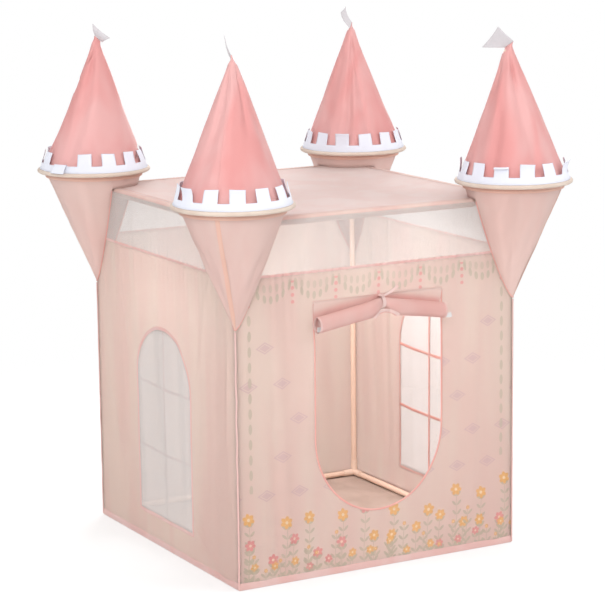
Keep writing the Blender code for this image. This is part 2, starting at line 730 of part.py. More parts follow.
def make_roof():
    cut = seam_distance(ROOF_HEIGHT)
    near, far = SIDE - cut + 3 * CLOTH - AXIS, AXIS
    outline = [
        (near, -far), (far, -near), (far, near), (near, far),
        (-near, far), (-far, near), (-far, -near), (-near, -far),
    ]
    bm = bmesh.new()
    low = ROOF_CLOTH_TOP - CLOTH
    face = bm.faces.new([bm.verts.new((x, y, low)) for x, y in outline])
    pushed = bmesh.ops.extrude_face_region(bm, geom=[face])
    moved = [item for item in pushed["geom"] if isinstance(item, bmesh.types.BMVert)]
    bmesh.ops.translate(bm, verts=moved, vec=(0, 0, CLOTH))
    roof = add("roof_panel", finish_mesh("roof_panel", bm), ROOF_CLOTH)
    end = HALF - cut - CLOTH - GAP
    inner = SLEEVE_RADIUS - CLOTH
    lengthwise = Matrix.Rotation(math.radians(90), 4, "Y")
    for label, radius, reach, operation in (
        ("sleeve", SLEEVE_RADIUS, end, "UNION"),
        ("sleeve_bore", inner, end + OVERRUN, "DIFFERENCE"),
    ):
        for side, turn in SIDES:
            shift = Matrix.Translation((0, -AXIS, ROOF_AXIS_HEIGHT))
            matrix = turn_about_z(turn) @ shift @ lengthwise
            mesh = cylinder_mesh(f"{label}_{side}", radius, -reach, reach, turn=matrix)
            boolean(roof, add_cutter(mesh.name, mesh), operation)


def make_ground_sheet():
    half = HALF - CLOTH - GAP
    edge = rectangle(-half, half, 0, CLOTH)
    add("ground_sheet", prism_mesh("ground_sheet", edge, -half, half), FLOOR_CLOTH)


# Rolled door flap. It hangs from the seam over the doorway and swings about it


def pinch(across):
    """1 at the tie, falling to 0 along the roll."""
    return math.exp(-((2 * across / ROLL_PINCH_WIDTH) ** 2))


def roll_radius(across):
    return ROLL_RADIUS * (1 - (1 - ROLL_PINCH_SHARE) * pinch(across))


def roll_centre(across):
    """The middle of the roll, as (y, z) from the seam that it hangs from."""
    drawn = 1 - abs(across) / (ROLL_LENGTH / 2)
    rise = (ROLL_END_DROP - ROLL_MIDDLE_DROP) * drawn
    return -roll_radius(across), rise - ROLL_END_DROP


def make_door_flap(hinge):
    """The flap is sewn to the wall, falls behind the roll, and winds forwards from there."""
    at_wall = FLAP_STAND_OFF - GAP - CLOTH / 2
    per_turn = 10
    steps = int(ROLL_TURNS * per_turn)
    half_shares = (0, 0.09, 0.19, 0.33, 0.55, 0.78, 1)
    column_shares = [-share for share in reversed(half_shares[1:])] + list(half_shares)
    rows = []
    for share in column_shares:
        across = share * ROLL_LENGTH / 2
        y, z = roll_centre(across)
        shrink = roll_radius(across) / ROLL_RADIUS
        row = [(across, at_wall, 0), (across, 0, -FLAP_SEAM), (across, 0, z / 2)]
        for step in range(steps + 1):
            turn = -2 * math.pi * step / per_turn
            radius = (ROLL_RADIUS - ROLL_PITCH * step / per_turn) * shrink
            row.append((across, y + radius * math.cos(turn), z + radius * math.sin(turn)))
        rows.append(row)
    mesh = smooth(sheet_mesh("door_flap_roll", rows), math.radians(60))
    flap = add("door_flap_roll", mesh, FLAP_CLOTH)
    flap.parent = hinge
    solidify(flap, CLOTH, 0)


def make_door_tie(hinge):
    """The ribbon that gathers the roll: down behind it, under it, and up over its front."""
    y, z = roll_centre(0)
    sweep = math.radians(FRONT_OF_TIE)
    steps = 2 * ARC_STEPS
    half = TIE_WIDTH / 2
    drop = z - roll_centre(half)[1]
    inner = (roll_radius(half) + drop + CLOTH / 2 + GAP) / math.cos(sweep / steps / 2)
    radius = inner + TIE_THICKNESS / 2
    behind = FLAP_STAND_OFF - GAP - TIE_THICKNESS / 2
    path = [(behind, -FLAP_SEAM), (behind, z / 2)]
    for step in range(1, steps + 1):
        turn = -sweep * step / steps
        path.append((y + radius * math.cos(turn), z + radius * math.sin(turn)))
    rows = [[(across, *point) for point in path] for across in (-half, half)]
    tie = add("door_tie", smooth(sheet_mesh("door_tie", rows), math.radians(60)), TIE_RIBBON)
    tie.parent = hinge
    solidify(tie, TIE_THICKNESS, 0)


def make_door():
    hinge = bpy.data.objects.new("door_head_seam", None)
    hinge.location = (0, -HALF - FLAP_STAND_OFF, FLAP_SEAM_HEIGHT)
    parts.objects.link(hinge)
    make_door_flap(hinge)
    make_door_tie(hinge)


make_corner_joints()
make_rails("base_tube", BASE_AXIS_HEIGHT)
make_rails("roof_tube", ROOF_AXIS_HEIGHT)
make_posts()
make_tower_poles()
make_hoops()
make_cones()
make_bands()
make_flags()
make_funnels()
make_walls()
make_window_nets()
make_roof()
make_ground_sheet()
make_door()
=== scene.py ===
"""The looks of the castle play tent: its cloth, net, felt, seams and print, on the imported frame."""

import math

import bmesh
import bpy
from mathutils import Matrix, Vector, geometry, noise


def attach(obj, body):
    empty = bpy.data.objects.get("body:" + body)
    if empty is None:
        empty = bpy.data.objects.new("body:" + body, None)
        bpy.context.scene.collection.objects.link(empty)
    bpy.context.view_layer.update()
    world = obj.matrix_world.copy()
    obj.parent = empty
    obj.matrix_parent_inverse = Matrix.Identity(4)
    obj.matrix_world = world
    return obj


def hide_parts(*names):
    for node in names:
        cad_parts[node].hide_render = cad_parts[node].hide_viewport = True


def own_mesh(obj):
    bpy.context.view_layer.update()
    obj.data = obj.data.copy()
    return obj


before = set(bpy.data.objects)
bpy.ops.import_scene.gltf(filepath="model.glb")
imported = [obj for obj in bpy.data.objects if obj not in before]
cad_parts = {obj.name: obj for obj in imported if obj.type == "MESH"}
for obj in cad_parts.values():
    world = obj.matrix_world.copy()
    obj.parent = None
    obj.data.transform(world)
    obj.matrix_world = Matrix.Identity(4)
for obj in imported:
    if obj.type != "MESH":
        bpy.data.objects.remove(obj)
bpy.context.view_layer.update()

# The part's own sizes, in metres
HALF = 0.500
AXIS = 0.4859
HOOP_AXIS = AXIS + 0.0145
HOOP_INSET = HALF - HOOP_AXIS
ROOF_HEIGHT = 1.140
NET_SEAM = 0.966
NET_TOP = 1.132
HOOP_HEIGHT = 1.190
HOOP_RADIUS = 0.1805
HOOP_TUBE = 0.0065
CONE_APEX = 1.640
CONE_FOOT = 0.1737
CONE_SLOPE = CONE_FOOT / (CONE_APEX - HOOP_HEIGHT)
CONE_LEAN = 0.0456
FUNNEL_TIP = 0.813
FUNNEL_TOP = 1.180
FUNNEL_RADIUS = 0.158
FUNNEL_RIM = 1.183
FUNNEL_BULGE = 0.75
DOOR_HALF = 0.230
DOOR_HEAD = 0.868
DOOR_SPRING = 0.440
DOOR_SILL = 0.186
WINDOW_HALF = 0.190
WINDOW_SILL = 0.103
WINDOW_SPRING = 0.545
WINDOW_APEX = 0.728
# The window's bars: their heights as shares of the window's, sag, lift off the cloth across and
# upright, half width and half thickness
WINDOW_BARS = (0.355, 0.70)
BAR_SAG = 0.0060
BAR_LIFTS = (-0.0018, -0.0030)
BAR_HALVES = (0.0050, 0.0007)

# Cloth, tapes and the steps of its meshes
CLOTH = 0.0008
FELT = 0.0012
PIPING = 0.0030
BINDING = 0.0115
DOOR_BINDING = 0.0070
HEM = 0.022
TAPE_THICKNESS = 0.0014
GRID_ACROSS = 0.0075
GRID_UP = 0.0120
NET_GRID = 0.0120
ROOF_GRID = 0.014
GROUND_GRID = 0.0105
EDGE_STEP = 0.0080
MERGE = 0.00001

# Each tower: its corner's side along X and Y, and the turn that points its +X and +Y inwards
TOWERS = {
    "front_left": (-1, -1, 0),
    "front_right": (1, -1, 90),
    "back_right": (1, 1, 180),
    "back_left": (-1, 1, 270),
}
WALLS = (("front", 0), ("right", 90), ("back", 180), ("left", 270))
DOWN_Y = Vector((0, -1, 0))


# Materials


def linear(*screen):
    """A colour as read off the screen, 0 to 255, as the shader takes it."""
    parts = [value / 255 for value in screen]
    return (*(p / 12.92 if p < 0.04045 else ((p + 0.055) / 1.055) ** 2.4 for p in parts), 1.0)


class Value:
    """A number that nodes make. It takes part in sums as a plain number does."""

    def __init__(self, graph, socket):
        self.graph, self.socket = graph, socket

    def calc(self, operation, *others):
        return self.graph.calc(operation, self, *others)

    def __add__(self, other):
        return self.calc("ADD", other)

    def __sub__(self, other):
        return self.calc("SUBTRACT", other)

    def __mul__(self, other):
        return self.calc("MULTIPLY", other)

    def __truediv__(self, other):
        return self.calc("DIVIDE", other)

    def __pow__(self, other):
        return self.calc("POWER", other)

    def __abs__(self):
        return self.calc("ABSOLUTE")

    def over(self, limit):
        """1 where the value is over the limit, else 0."""
        return self.calc("GREATER_THAN", limit)

    def wave(self, length):
        return (self * (math.tau / length)).calc("SINE")

    def cell(self, width):
        """The place in a repeating cell, from its middle, and the cell's number."""
        scaled = self / width
        return (scaled.calc("FRACT") - 0.5) * width, scaled.calc("FLOOR")


class Graph:
    """The nodes of a material, or of the world."""

    def __init__(self, owner):
        owner.use_nodes = True
        self.owner = owner
        self.tree = owner.node_tree
        self.shader = self.tree.nodes.get("Principled BSDF") or self.tree.nodes["Background"]
        self.output = next(n for n in self.tree.nodes if n.type.startswith("OUTPUT"))

    def put(self, socket, value):
        if isinstance(value, Value):
            value = value.socket
        if isinstance(value, bpy.types.NodeSocket):
            self.tree.links.new(value, socket)
        else:
            socket.default_value = value

    def fill(self, node, **inputs):
        for key, value in inputs.items():
            self.put(node.inputs[key.replace("_", " ")], value)
        return node

    def node(self, kind, settings=None, **inputs):
        made = self.tree.nodes.new(kind)
        for key, value in (settings or {}).items():
            setattr(made, key, value)
        return self.fill(made, **inputs)

    def calc(self, operation, *values):
        made = self.node("ShaderNodeMath", {"operation": operation})
        for socket, value in zip(made.inputs, values):
            self.put(socket, value)
        return Value(self, made.outputs[0])

    def smaller(self, value, limit, softness):
        """1 where value is under the limit, falling to 0 over a soft edge."""
        low, high = self.calc("SUBTRACT", limit, softness), self.calc("ADD", limit, softness)
        made = self.node("ShaderNodeMapRange", {"interpolation_type": "SMOOTHSTEP"}, Value=value,
                         From_Min=low, From_Max=high, To_Min=1.0, To_Max=0.0)
        return Value(self, made.outputs[0])

    def between(self, value, low, high):
        return value.over(low) * self.smaller(value, high, EDGE)

    def mix(self, share, first, second):
        """A mix of two colours. One that is written as numbers is a screen colour."""
        made = self.node("ShaderNodeMix", {"data_type": "RGBA"})
        for index, value in ((0, share), (6, first), (7, second)):
            self.put(made.inputs[index], linear(*value) if isinstance(value, tuple) else value)
        return made.outputs[2]

    def mix_shaders(self, share, first, second):
        made = self.node("ShaderNodeMixShader", Fac=share)
        self.put(made.inputs[1], first.outputs[0])
        self.put(made.inputs[2], second.outputs[0])
        return made

    def place(self):
        return self.node("ShaderNodeTexCoord").outputs["Object"]

    def axes(self):
        split = self.node("ShaderNodeSeparateXYZ", Vector=self.place())
        return [Value(self, split.outputs[axis]) for axis in "XYZ"]

    def noise(self, scale, detail=2.0, distortion=0.0, upright=1.0):
        """Noise over the object. Below 1, upright draws it out along the height."""
        drawn = self.node("ShaderNodeVectorMath", {"operation": "MULTIPLY"})
        self.put(drawn.inputs[0], self.place())
        drawn.inputs[1].default_value = (1.0, 1.0, upright)
        made = self.node("ShaderNodeTexNoise", Vector=drawn.outputs["Vector"], Scale=scale, Detail=detail,
                         Distortion=distortion)
        return Value(self, made.outputs["Fac"])

    def random(self, key):
        made = self.node("ShaderNodeTexWhiteNoise", {"noise_dimensions": "1D"}, W=key)
        return Value(self, made.outputs["Value"])

    def bump(self, height, distance):
        normal = self.node("ShaderNodeBump", Height=height, Distance=distance).outputs["Normal"]
        self.fill(self.shader, Normal=normal)
        return normal

    def translucent(self, colour, share, normal):
        """Lets a share of the light through the cloth."""
        through = self.node("ShaderNodeBsdfTranslucent", Color=colour, Normal=normal)
        both = self.mix_shaders(share, self.shader, through)
        self.fill(self.output, Surface=both.outputs[0])


THREAD = 0.0011
WEAVE_BUMP = 0.00035
FIBRE_SCALE = 900.0
# The painted fold shade's bands: their noise scale, and how far they are drawn out upright
FOLD_SHADE_SCALE = 9.0
FOLD_SHADE_UPRIGHT = 0.16
PALE_LIGHT = (255, 248, 242)
NET_MESH = 0.0021
NET_HOLE = -0.12
WINDOW_NET_HOLE = 0.08


def woven(name, base, deep, share=0.50, roughness=0.78, print_on=None, cover=1.0, paler=0.5,
          sheen=0.15, level=False):
    """Thin woven polyester: crossing threads, soft upright bands of the deeper colour that are painted
    shade of soft folds, and light through it.
    """
    g = Graph(bpy.data.materials.new(name))
    # Painted shade: random upright bands of the deeper colour stand in for the shade of soft folds in the
    # cloth.
    fold_shade = g.smaller(g.noise(FOLD_SHADE_SCALE, 2.0, 0.4, FOLD_SHADE_UPRIGHT), 0.5, 0.16)
    colour = g.mix(fold_shade, base, deep)
    if print_on:
        colour = print_on(g, colour)
    x, y, z = g.axes()
    across, along = (x, y) if level else (x + y, z)
    fibres = g.noise(FIBRE_SCALE)
    normal = g.bump(across.wave(THREAD) * along.wave(THREAD) + fibres, WEAVE_BUMP)
    shaded = g.mix(fibres * 0.10, colour, deep)
    g.fill(g.shader, Base_Color=shaded, Roughness=roughness, Specular_IOR_Level=0.30,
           Sheen_Weight=sheen, Sheen_Roughness=0.45, Alpha=cover)
    g.translucent(g.mix(paler, shaded, PALE_LIGHT), share, normal)
    return g.owner


def felt(name, base, deep):
    """Pressed felt: short tangled fibres."""
    g = Graph(bpy.data.materials.new(name))
    fibres = g.noise(420.0, 6.0, 1.6)
    tufts = g.noise(60.0, 3.0)
    colour = g.mix(fibres * tufts, base, deep)
    g.fill(g.shader, Base_Color=colour, Roughness=0.95, Specular_IOR_Level=0.15, Sheen_Weight=0.25)
    g.translucent(colour, 0.12, g.bump(fibres + tufts, 0.0010))
    return g.owner


def net(name, base, deep, opening=NET_HOLE):
    """Fine net: threads round rows of small holes."""
    g = Graph(bpy.data.materials.new(name))
    x, y, z = g.axes()
    hole = g.smaller((x + y).wave(NET_MESH) * z.wave(NET_MESH), opening, 0.08)
    g.fill(g.shader, Base_Color=g.mix(g.noise(7.0, 2.0, 0.5, 0.3), base, deep), Alpha=hole,
           Roughness=0.85, Specular_IOR_Level=0.2)
    g.bump(hole, 0.0003)
    return g.owner


def plastic(name, base, deep, roughness):
    """Moulded or drawn plastic, faintly mottled."""
    g = Graph(bpy.data.materials.new(name))
    uneven = g.noise(220.0, 3.0) * 0.16 + (roughness - 0.08)
    g.fill(g.shader, Base_Color=g.mix(g.noise(30.0, 4.0), base, deep), Roughness=uneven,
           Specular_IOR_Level=0.45)
    g.bump(g.noise(500.0, 2.0), 0.00012)
    return g.owner


# The front wall's print: round blossoms and berries on leafy stems at the bottom, swags of drops at
# the top, and faint diamonds between them

SAGE = (194, 190, 168)
SUN = (250, 187, 74)
ROSE = (240, 140, 145)
MAUVE = (214, 182, 190)
HEART = (255, 236, 214)
EDGE = 0.0006
BORDER_TOP = 0.250
SWAG_TOP = 0.945
SWAG_CELL = 0.152
SWAG_DROP = 0.052
DROP_STEP = SWAG_CELL / 7
DROP_LONG = 0.0125
DROP_WIDE = 0.0060
DIAMOND_CELL = 0.115
DIAMOND_WIDE = 0.032
DIAMOND_TALL = 0.019
DIAMONDS_LEFT_OUT = 0.40
SIDE_INSET = 0.455
STEM_HALF = 0.0010
STEM_SWAY = 0.0030
LEAF_SPACING = 0.030
LEAF_REACH = 0.0095
LEAF_LONG = 0.0105
LEAF_WIDE = 0.0042
PETALS = 6.0
# Each row of blossoms: cell width, height above the floor, its spread, radius, share of yellow ones,
# and a seed
BLOSSOM_ROWS = (
    (0.1040, 0.150, 0.075, 0.0210, 0.55, 11.0),
    (0.0830, 0.080, 0.070, 0.0185, 0.50, 23.0),
    (0.0690, 0.034, 0.050, 0.0145, 0.60, 37.0),
    (0.0610, 0.030, 0.130, 0.0070, 1.00, 53.0),
)


def oval(g, along, off, long, wide):
    """1 inside an oval about the point where along and off are 0."""
    return g.smaller((along / long) ** 2.0 + (off / wide) ** 2.0, 1.0, 0.2)


def blossoms(g, colour, across, height, row):
    """Round blossoms on thin stems with paired leaves."""
    width, low, spread, radius, yellow, seed = row
    local, index = across.cell(width)
    random, other = g.random(index + seed), g.random(index + 3.7 * seed)
    shift = (other - 0.5) * (width - 2.2 * radius)
    local = local + shift + (height * 30.0).calc("SINE") * STEM_SWAY
    level = random * spread + low
    beside = abs(local)
    under = g.smaller(height, level, EDGE)
    stem = g.smaller(beside, STEM_HALF, EDGE) * under
    step, _ = (level - height).cell(LEAF_SPACING)
    out = beside - LEAF_REACH
    slant = math.sqrt(0.5)
    leaf = oval(g, (out - step) * slant, (out + step) * slant, LEAF_LONG, LEAF_WIDE) * under
    colour = g.mix(stem.calc("MAXIMUM", leaf) * 0.85, colour, SAGE)
    rise = height - level
    reach = (local ** 2.0 + rise ** 2.0).calc("SQRT")
    angle = rise.calc("ARCTAN2", local)
    lobes = abs((angle * (PETALS / 2) + random * math.tau).calc("SINE"))
    petals = g.smaller(reach, lobes * (0.38 * radius) + 0.62 * radius, EDGE)
    tint = g.mix(other.over(yellow), SUN, ROSE)
    colour = g.mix(petals * 0.95, colour, tint)
    split = g.smaller(lobes, 0.10, 0.06) * g.smaller(reach, 0.62 * radius, EDGE)
    colour = g.mix(split * 0.7, colour, HEART)
    return g.mix(g.smaller(reach, 0.24 * radius, EDGE) * 0.9, colour, HEART)


def diamonds(g, colour, across, height):
    """Faint diamonds in staggered cells, some left out."""
    up, row = height.cell(DIAMOND_CELL)
    local, column = (across + row.calc("MODULO", 2.0) * (DIAMOND_CELL / 2)).cell(DIAMOND_CELL)
    size = abs(local) / DIAMOND_WIDE + abs(up) / DIAMOND_TALL
    shape = g.smaller(abs(size - 0.88), 0.12, 0.03).calc("MAXIMUM", g.smaller(size, 0.60, 0.03))
    shown = shape * g.random(row * 17.0 + column).over(DIAMONDS_LEFT_OUT)
    middle = g.between(height, BORDER_TOP, SWAG_TOP - 2.6 * SWAG_DROP)
    return g.mix(shown * middle * 0.75, colour, MAUVE)


def swags(g, colour, across, height):
    """Hanging rows of drops with a tassel of berries at each joint, and strings down both sides."""
    parabola = (across.cell(SWAG_CELL)[0] / (SWAG_CELL / 2)) ** 2.0
    for share, strength in ((1.0, 0.85), (0.35, 0.55)):
        line = parabola * (share * SWAG_DROP) + (SWAG_TOP - share * SWAG_DROP)
        drop = oval(g, height - line, across.cell(DROP_STEP)[0], DROP_LONG, DROP_WIDE)
        colour = g.mix(drop * strength, colour, SAGE)
    joint, _ = (across + SWAG_CELL / 2).cell(SWAG_CELL)
    hang = g.between(height, SWAG_TOP - 1.35 * SWAG_DROP, SWAG_TOP)
    tassel = oval(g, height.cell(DROP_STEP)[0], joint, DROP_WIDE, DROP_WIDE) * hang
    colour = g.mix(tassel * 0.85, colour, ROSE)
    step, _ = height.cell(2.2 * DROP_STEP)
    upright = g.between(height, BORDER_TOP + 0.05, SWAG_TOP - 1.6 * SWAG_DROP)
    side = oval(g, step, abs(across) - SIDE_INSET, 1.3 * DROP_LONG, DROP_WIDE) * upright
    return g.mix(side * 0.75, colour, SAGE)


def front_print(g, colour):
    across, _, height = g.axes()
    colour = swags(g, diamonds(g, colour, across, height), across, height)
    for row in BLOSSOM_ROWS:
        colour = blossoms(g, colour, across, height, row)
    return colour


# Door flap, rolled up: its sizes, in metres
FLAP_SEAM_HEIGHT = 0.874
FLAP_WIDTH = 0.466
FLAP_STAND_OFF = 0.0021
FLAP_CLOTH = 0.0007
ROLL_LENGTH = 0.450
ROLL_SHIFT = -0.007
ROLL_RADIUS = 0.026
ROLL_END_HEIGHT = 0.802
ROLL_MIDDLE_HEIGHT = 0.842
ROLL_TURNS = 6
ROLL_PITCH = 0.0033
ROLL_PINCH_WIDTH = 0.054
ROLL_PINCH_SHARE = 0.58
ROLL_BUNCH = 0.0022
ROLL_BUNCH_WIDTH = 0.22
ROLL_COLUMNS = 96
ROLL_STEPS = 26
# The hem's arches under the tie: half span, drop of the crown below the roll, drop of the feet
# below the crown
HEM_ARCHES = ((0.045, 0.0050, 0.0185), (0.040, 0.0105, 0.0160))
TIE_SIZE = (0.0124, 0.150)
TIE_THICKNESS = 0.0012
# With the roll swung right up, the knot lies pressed flat between it and the wall.
# Painted light: the flap's colour at its seam is lighter than the wall's, offsetting the shade the flap
# hangs in.
FLAP_TOP_PAINTED_LIGHT = (252, 225, 215)
FADE_HEIGHT = 0.036
FADE_SOFT = 0.012


def flap_shade(g, colour):
    """Painted light near the seam: a colour lighter than the wall's, offsetting the shade the flap hangs
    in, fading to the flap's own coral lining colour towards the roll.
    """
    x, _, z = g.axes()
    slope = (ROLL_MIDDLE_HEIGHT - ROLL_END_HEIGHT) / (ROLL_LENGTH / 2)
    above = z + abs(x) * slope - ROLL_MIDDLE_HEIGHT
    return g.mix(g.smaller(above, FADE_HEIGHT, FADE_SOFT), FLAP_TOP_PAINTED_LIGHT, colour)


# The wall cloth's colour, then the deeper colour of its painted fold shade and fibres
WALL_COLOUR_AND_FOLD_SHADE = (240, 221, 211), (238, 208, 201)
MATERIALS = {
    "wall_cloth": woven("peach_wall_cloth", *WALL_COLOUR_AND_FOLD_SHADE, paler=0.9),
    "printed_cloth": woven("printed_wall_cloth", *WALL_COLOUR_AND_FOLD_SHADE, print_on=front_print, paler=0.9),
    # Painted light: the roof cloth's colours are lighter than the wall cloth's, making up for the dim
    # grazing light on the roof.
    "roof_cloth": woven("roof_cloth", (255, 234, 229), (253, 226, 220), 0.22, paler=0.9, level=True),
    "sleeve_cloth": woven("pink_sleeve_cloth", (253, 224, 212), (249, 210, 200), 0.15),
    "funnel_cloth": woven("sheer_funnel_cloth", (251, 219, 210), (248, 210, 201), 0.12, cover=0.88),
    "funnel_hem": woven("funnel_hem_cloth", (246, 202, 184), (240, 192, 174), 0.10),
    "cone_cloth": woven("coral_cone_cloth", (252, 195, 192), (247, 171, 168), 0.14, 0.5, paler=0.1,
                        sheen=0.0),
    "floor_cloth": woven("ground_sheet_cloth", (222, 199, 186), (210, 186, 172), 0.05, level=True),
    # The flap's coral lining colour, with painted light near its seam from flap_shade
    "flap_cloth": woven("flap_lining_cloth", (249, 205, 197), (246, 191, 183), 0.22,
                        print_on=flap_shade, paler=0.1),
    "binding": woven("pink_binding", (252, 216, 210), (249, 202, 195), 0.15, 0.6),
    "coral_piping": woven("coral_piping", (248, 194, 184), (243, 178, 168), 0.10, 0.6, paler=0.1),
    "hoop_casing": woven("cream_hoop_casing", (240, 222, 207), (230, 208, 192), 0.05),
    "tie_ribbon": woven("light_ribbon", (254, 224, 218), (249, 208, 200), 0.15, 0.5),
    "tab": woven("white_tab", (246, 244, 243), (240, 238, 237), 0.05),
    "net": net("fine_net", (236, 230, 227), (228, 221, 217)),
    "window_net": net("fine_window_net", (226, 220, 217), (218, 211, 208), WINDOW_NET_HOLE),
    "band_felt": felt("white_felt", (233, 235, 245), (227, 229, 240)),
    "flag_felt": felt("grey_felt", (212, 207, 210), (200, 196, 199)),
    "tube_plastic": plastic("cream_tube", (241, 217, 199), (235, 207, 187), 0.42),
    "joint_plastic": plastic("cream_joint", (241, 221, 205), (235, 211, 193), 0.38),
}


# Mesh helpers


def ease(value):
    value = min(max(value, 0.0), 1.0)
    return value * value * (3 - 2 * value)


def rough(x, y, z):
    """Smooth noise at a point."""
    return noise.noise(Vector((x, y, z)))


def swell(turns):
    """A wave from 1 at whole turns to 0 at half turns."""
    return (1 + math.cos(math.tau * turns)) / 2


def shares(count):
    """Even steps from 0 to 1."""
    return [i / count for i in range(count + 1)]


def circle(count):
    """Angles in even steps round a circle."""
    return [math.tau * i / count for i in range(count)]


def around(angle, radius, height):
    return Vector((radius * math.cos(angle), radius * math.sin(angle), height))


def turned(turn, point):
    return Matrix.Rotation(math.radians(turn), 3, "Z") @ Vector(point)


def piece(name, bm, finish, slot, body="tent", thickness=0.0, sharp=60):
    """A smooth-shaded object that rides on a body. Open sheets get a thickness inwards."""
    mesh = bpy.data.meshes.new(name)
    bm.to_mesh(mesh)
    bm.free()
    mesh.materials.append(MATERIALS[finish])
    mesh.shade_smooth()
    mesh.set_sharp_from_angle(angle=math.radians(sharp))
    obj = bpy.data.objects.new(name, mesh)
    bpy.context.scene.collection.objects.link(obj)
    if thickness:
        solid = obj.modifiers.new("thickness", "SOLIDIFY")
        solid.thickness = thickness
        solid.offset = -1
    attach(obj, body)
    return obj


def rows_mesh(*groups):
    """A sheet through groups of rows, facing outwards where rows run anticlockwise, going up."""
    bm = bmesh.new()
    for rows in groups:
        lines = [[bm.verts.new(point) for point in row] for row in rows]
        for low, up in zip(lines, lines[1:]):
            for i in range(len(low) - 1):
                bm.faces.new((low[i], low[i + 1], up[i + 1], up[i]))
    bmesh.ops.remove_doubles(bm, verts=bm.verts, dist=MERGE)
    return bm


def skin(bm, rings, closed):
    """Faces between rings of vertices. An open run of rings gets a cap at each end."""
    sides = len(rings[0])
    for first, second in zip(rings, rings[1:] + (rings[:1] if closed else [])):
        for k in range(sides):
            m = (k + 1) % sides
            bm.faces.new((first[k], second[k], second[m], first[m]))
    if not closed:
        bm.faces.new(rings[0])
        bm.faces.new(list(reversed(rings[-1])))
    bmesh.ops.recalc_face_normals(bm, faces=bm.faces)
    return bm


def sweep_mesh(path, normals, half_width, half_thick, closed=False, sides=8):
    """A tube of oval section along a path. The section's width lies square to the normals, which
    are one for each point or one for all."""
    bm = bmesh.new()
    rings = []
    count = len(path)
    if isinstance(normals, Vector):
        normals = [normals] * count
    for i, (point, normal) in enumerate(zip(path, normals)):
        before = path[i - 1] if i or closed else path[0]
        after = path[(i + 1) % count] if i < count - 1 or closed else path[-1]
        tangent = (after - before).normalized()
        side = tangent.cross(normal).normalized()
        out = side.cross(tangent).normalized()
        wide = half_width(i / (count - 1)) if callable(half_width) else half_width
        rings.append([
            bm.verts.new(point + side * wide * math.cos(a) + out * half_thick * math.sin(a))
            for a in circle(sides)
        ])
    return skin(bm, rings, closed)


# Each kind of trim, by the start of its name: half width, half thickness, finish, slot and body
TRIMS = {
    "wall_hem": (HEM / 2, TAPE_THICKNESS / 2, "binding", "wall_cloth", "tent"),
    "net_seam": (0.0042, 0.0011, "binding", "wall_cloth", "tent"),
    "window_binding": (BINDING / 2, 0.0013, "binding", "wall_cloth", "tent"),
    "doorway_binding": (DOOR_BINDING / 2, 0.0014, "coral_piping", "wall_cloth", "tent"),
    "corner_seam": (0.0032, 0.0024, "binding", "wall_cloth", "tent"),
    "funnel_hem": (0.0060, 0.0016, "funnel_hem", "funnel_cloth", "tent"),
    "funnel_tape": (lambda s: 0.0015 + 0.0055 * min(1, 5 * s), 0.0007, "funnel_hem", "funnel_cloth",
                    "tent"),
    "funnel_piping": (PIPING, PIPING * 0.8, "coral_piping", "funnel_cloth", "tent"),
    "cone_seam": (0.0022, 0.0009, "cone_cloth", "cone_cloth", "tent"),
    "band_stitching": (0.0016, 0.0010, "band_felt", "band_felt", "tent"),
    "sleeve_stitch": (0.0022, 0.0006, "sleeve_cloth", "roof_cloth", "tent"),
    "door_roll_binding": (0.0042, 0.0010, "binding", "flap_cloth", "door_roll"),
    "door_flap_hem_0": (0.0050, 0.0008, "tie_ribbon", "flap_cloth", "door_roll"),
    "door_flap_hem_1": (0.0011, 0.0008, "coral_piping", "flap_cloth", "door_roll"),
    "door_flap_seam": (0.0018, 0.0007, "flap_cloth", "flap_cloth", "door_roll"),
    "door_tab": (0.0075, 0.0009, "tab", "flap_cloth", "door_roll"),
}


def trim(name, path, normals, closed=False):
    """A tape, ribbon or piping along a path."""
    wide, thick, *look = next(TRIMS[kind] for kind in TRIMS if name.startswith(kind))
    return piece(name, sweep_mesh(path, normals, wide, thick, closed), *look)


def joined(*meshes):
    """Several bmeshes as one."""
    whole = bmesh.new()
    for bm in meshes:
        mesh = bpy.data.meshes.new("part")
        bm.to_mesh(mesh)
        bm.free()
        whole.from_mesh(mesh)
        bpy.data.meshes.remove(mesh)
    return whole


def resampled(points, step, closed=False):
    """Points along a polyline, a step apart."""
    corners = [Vector(point) for point in points]
    if closed:
        corners.append(corners[0])
    made = []
    for first, second in zip(corners, corners[1:]):
        count = max(1, round((second - first).length / step))
        made += [first.lerp(second, i / count) for i in range(count)]
    return made if closed else made + [corners[-1]]


def inside(point, outline):
    x, y = point
    found = False
    for i, here in enumerate(outline):
        last = outline[i - 1]
        if (here[1] > y) != (last[1] > y):
            if x < (last[0] - here[0]) * (y - here[1]) / (last[1] - here[1]) + here[0]:
                found = not found
    return found


def bucket(point):
    return round(point.x / EDGE_STEP), round(point.y / EDGE_STEP)


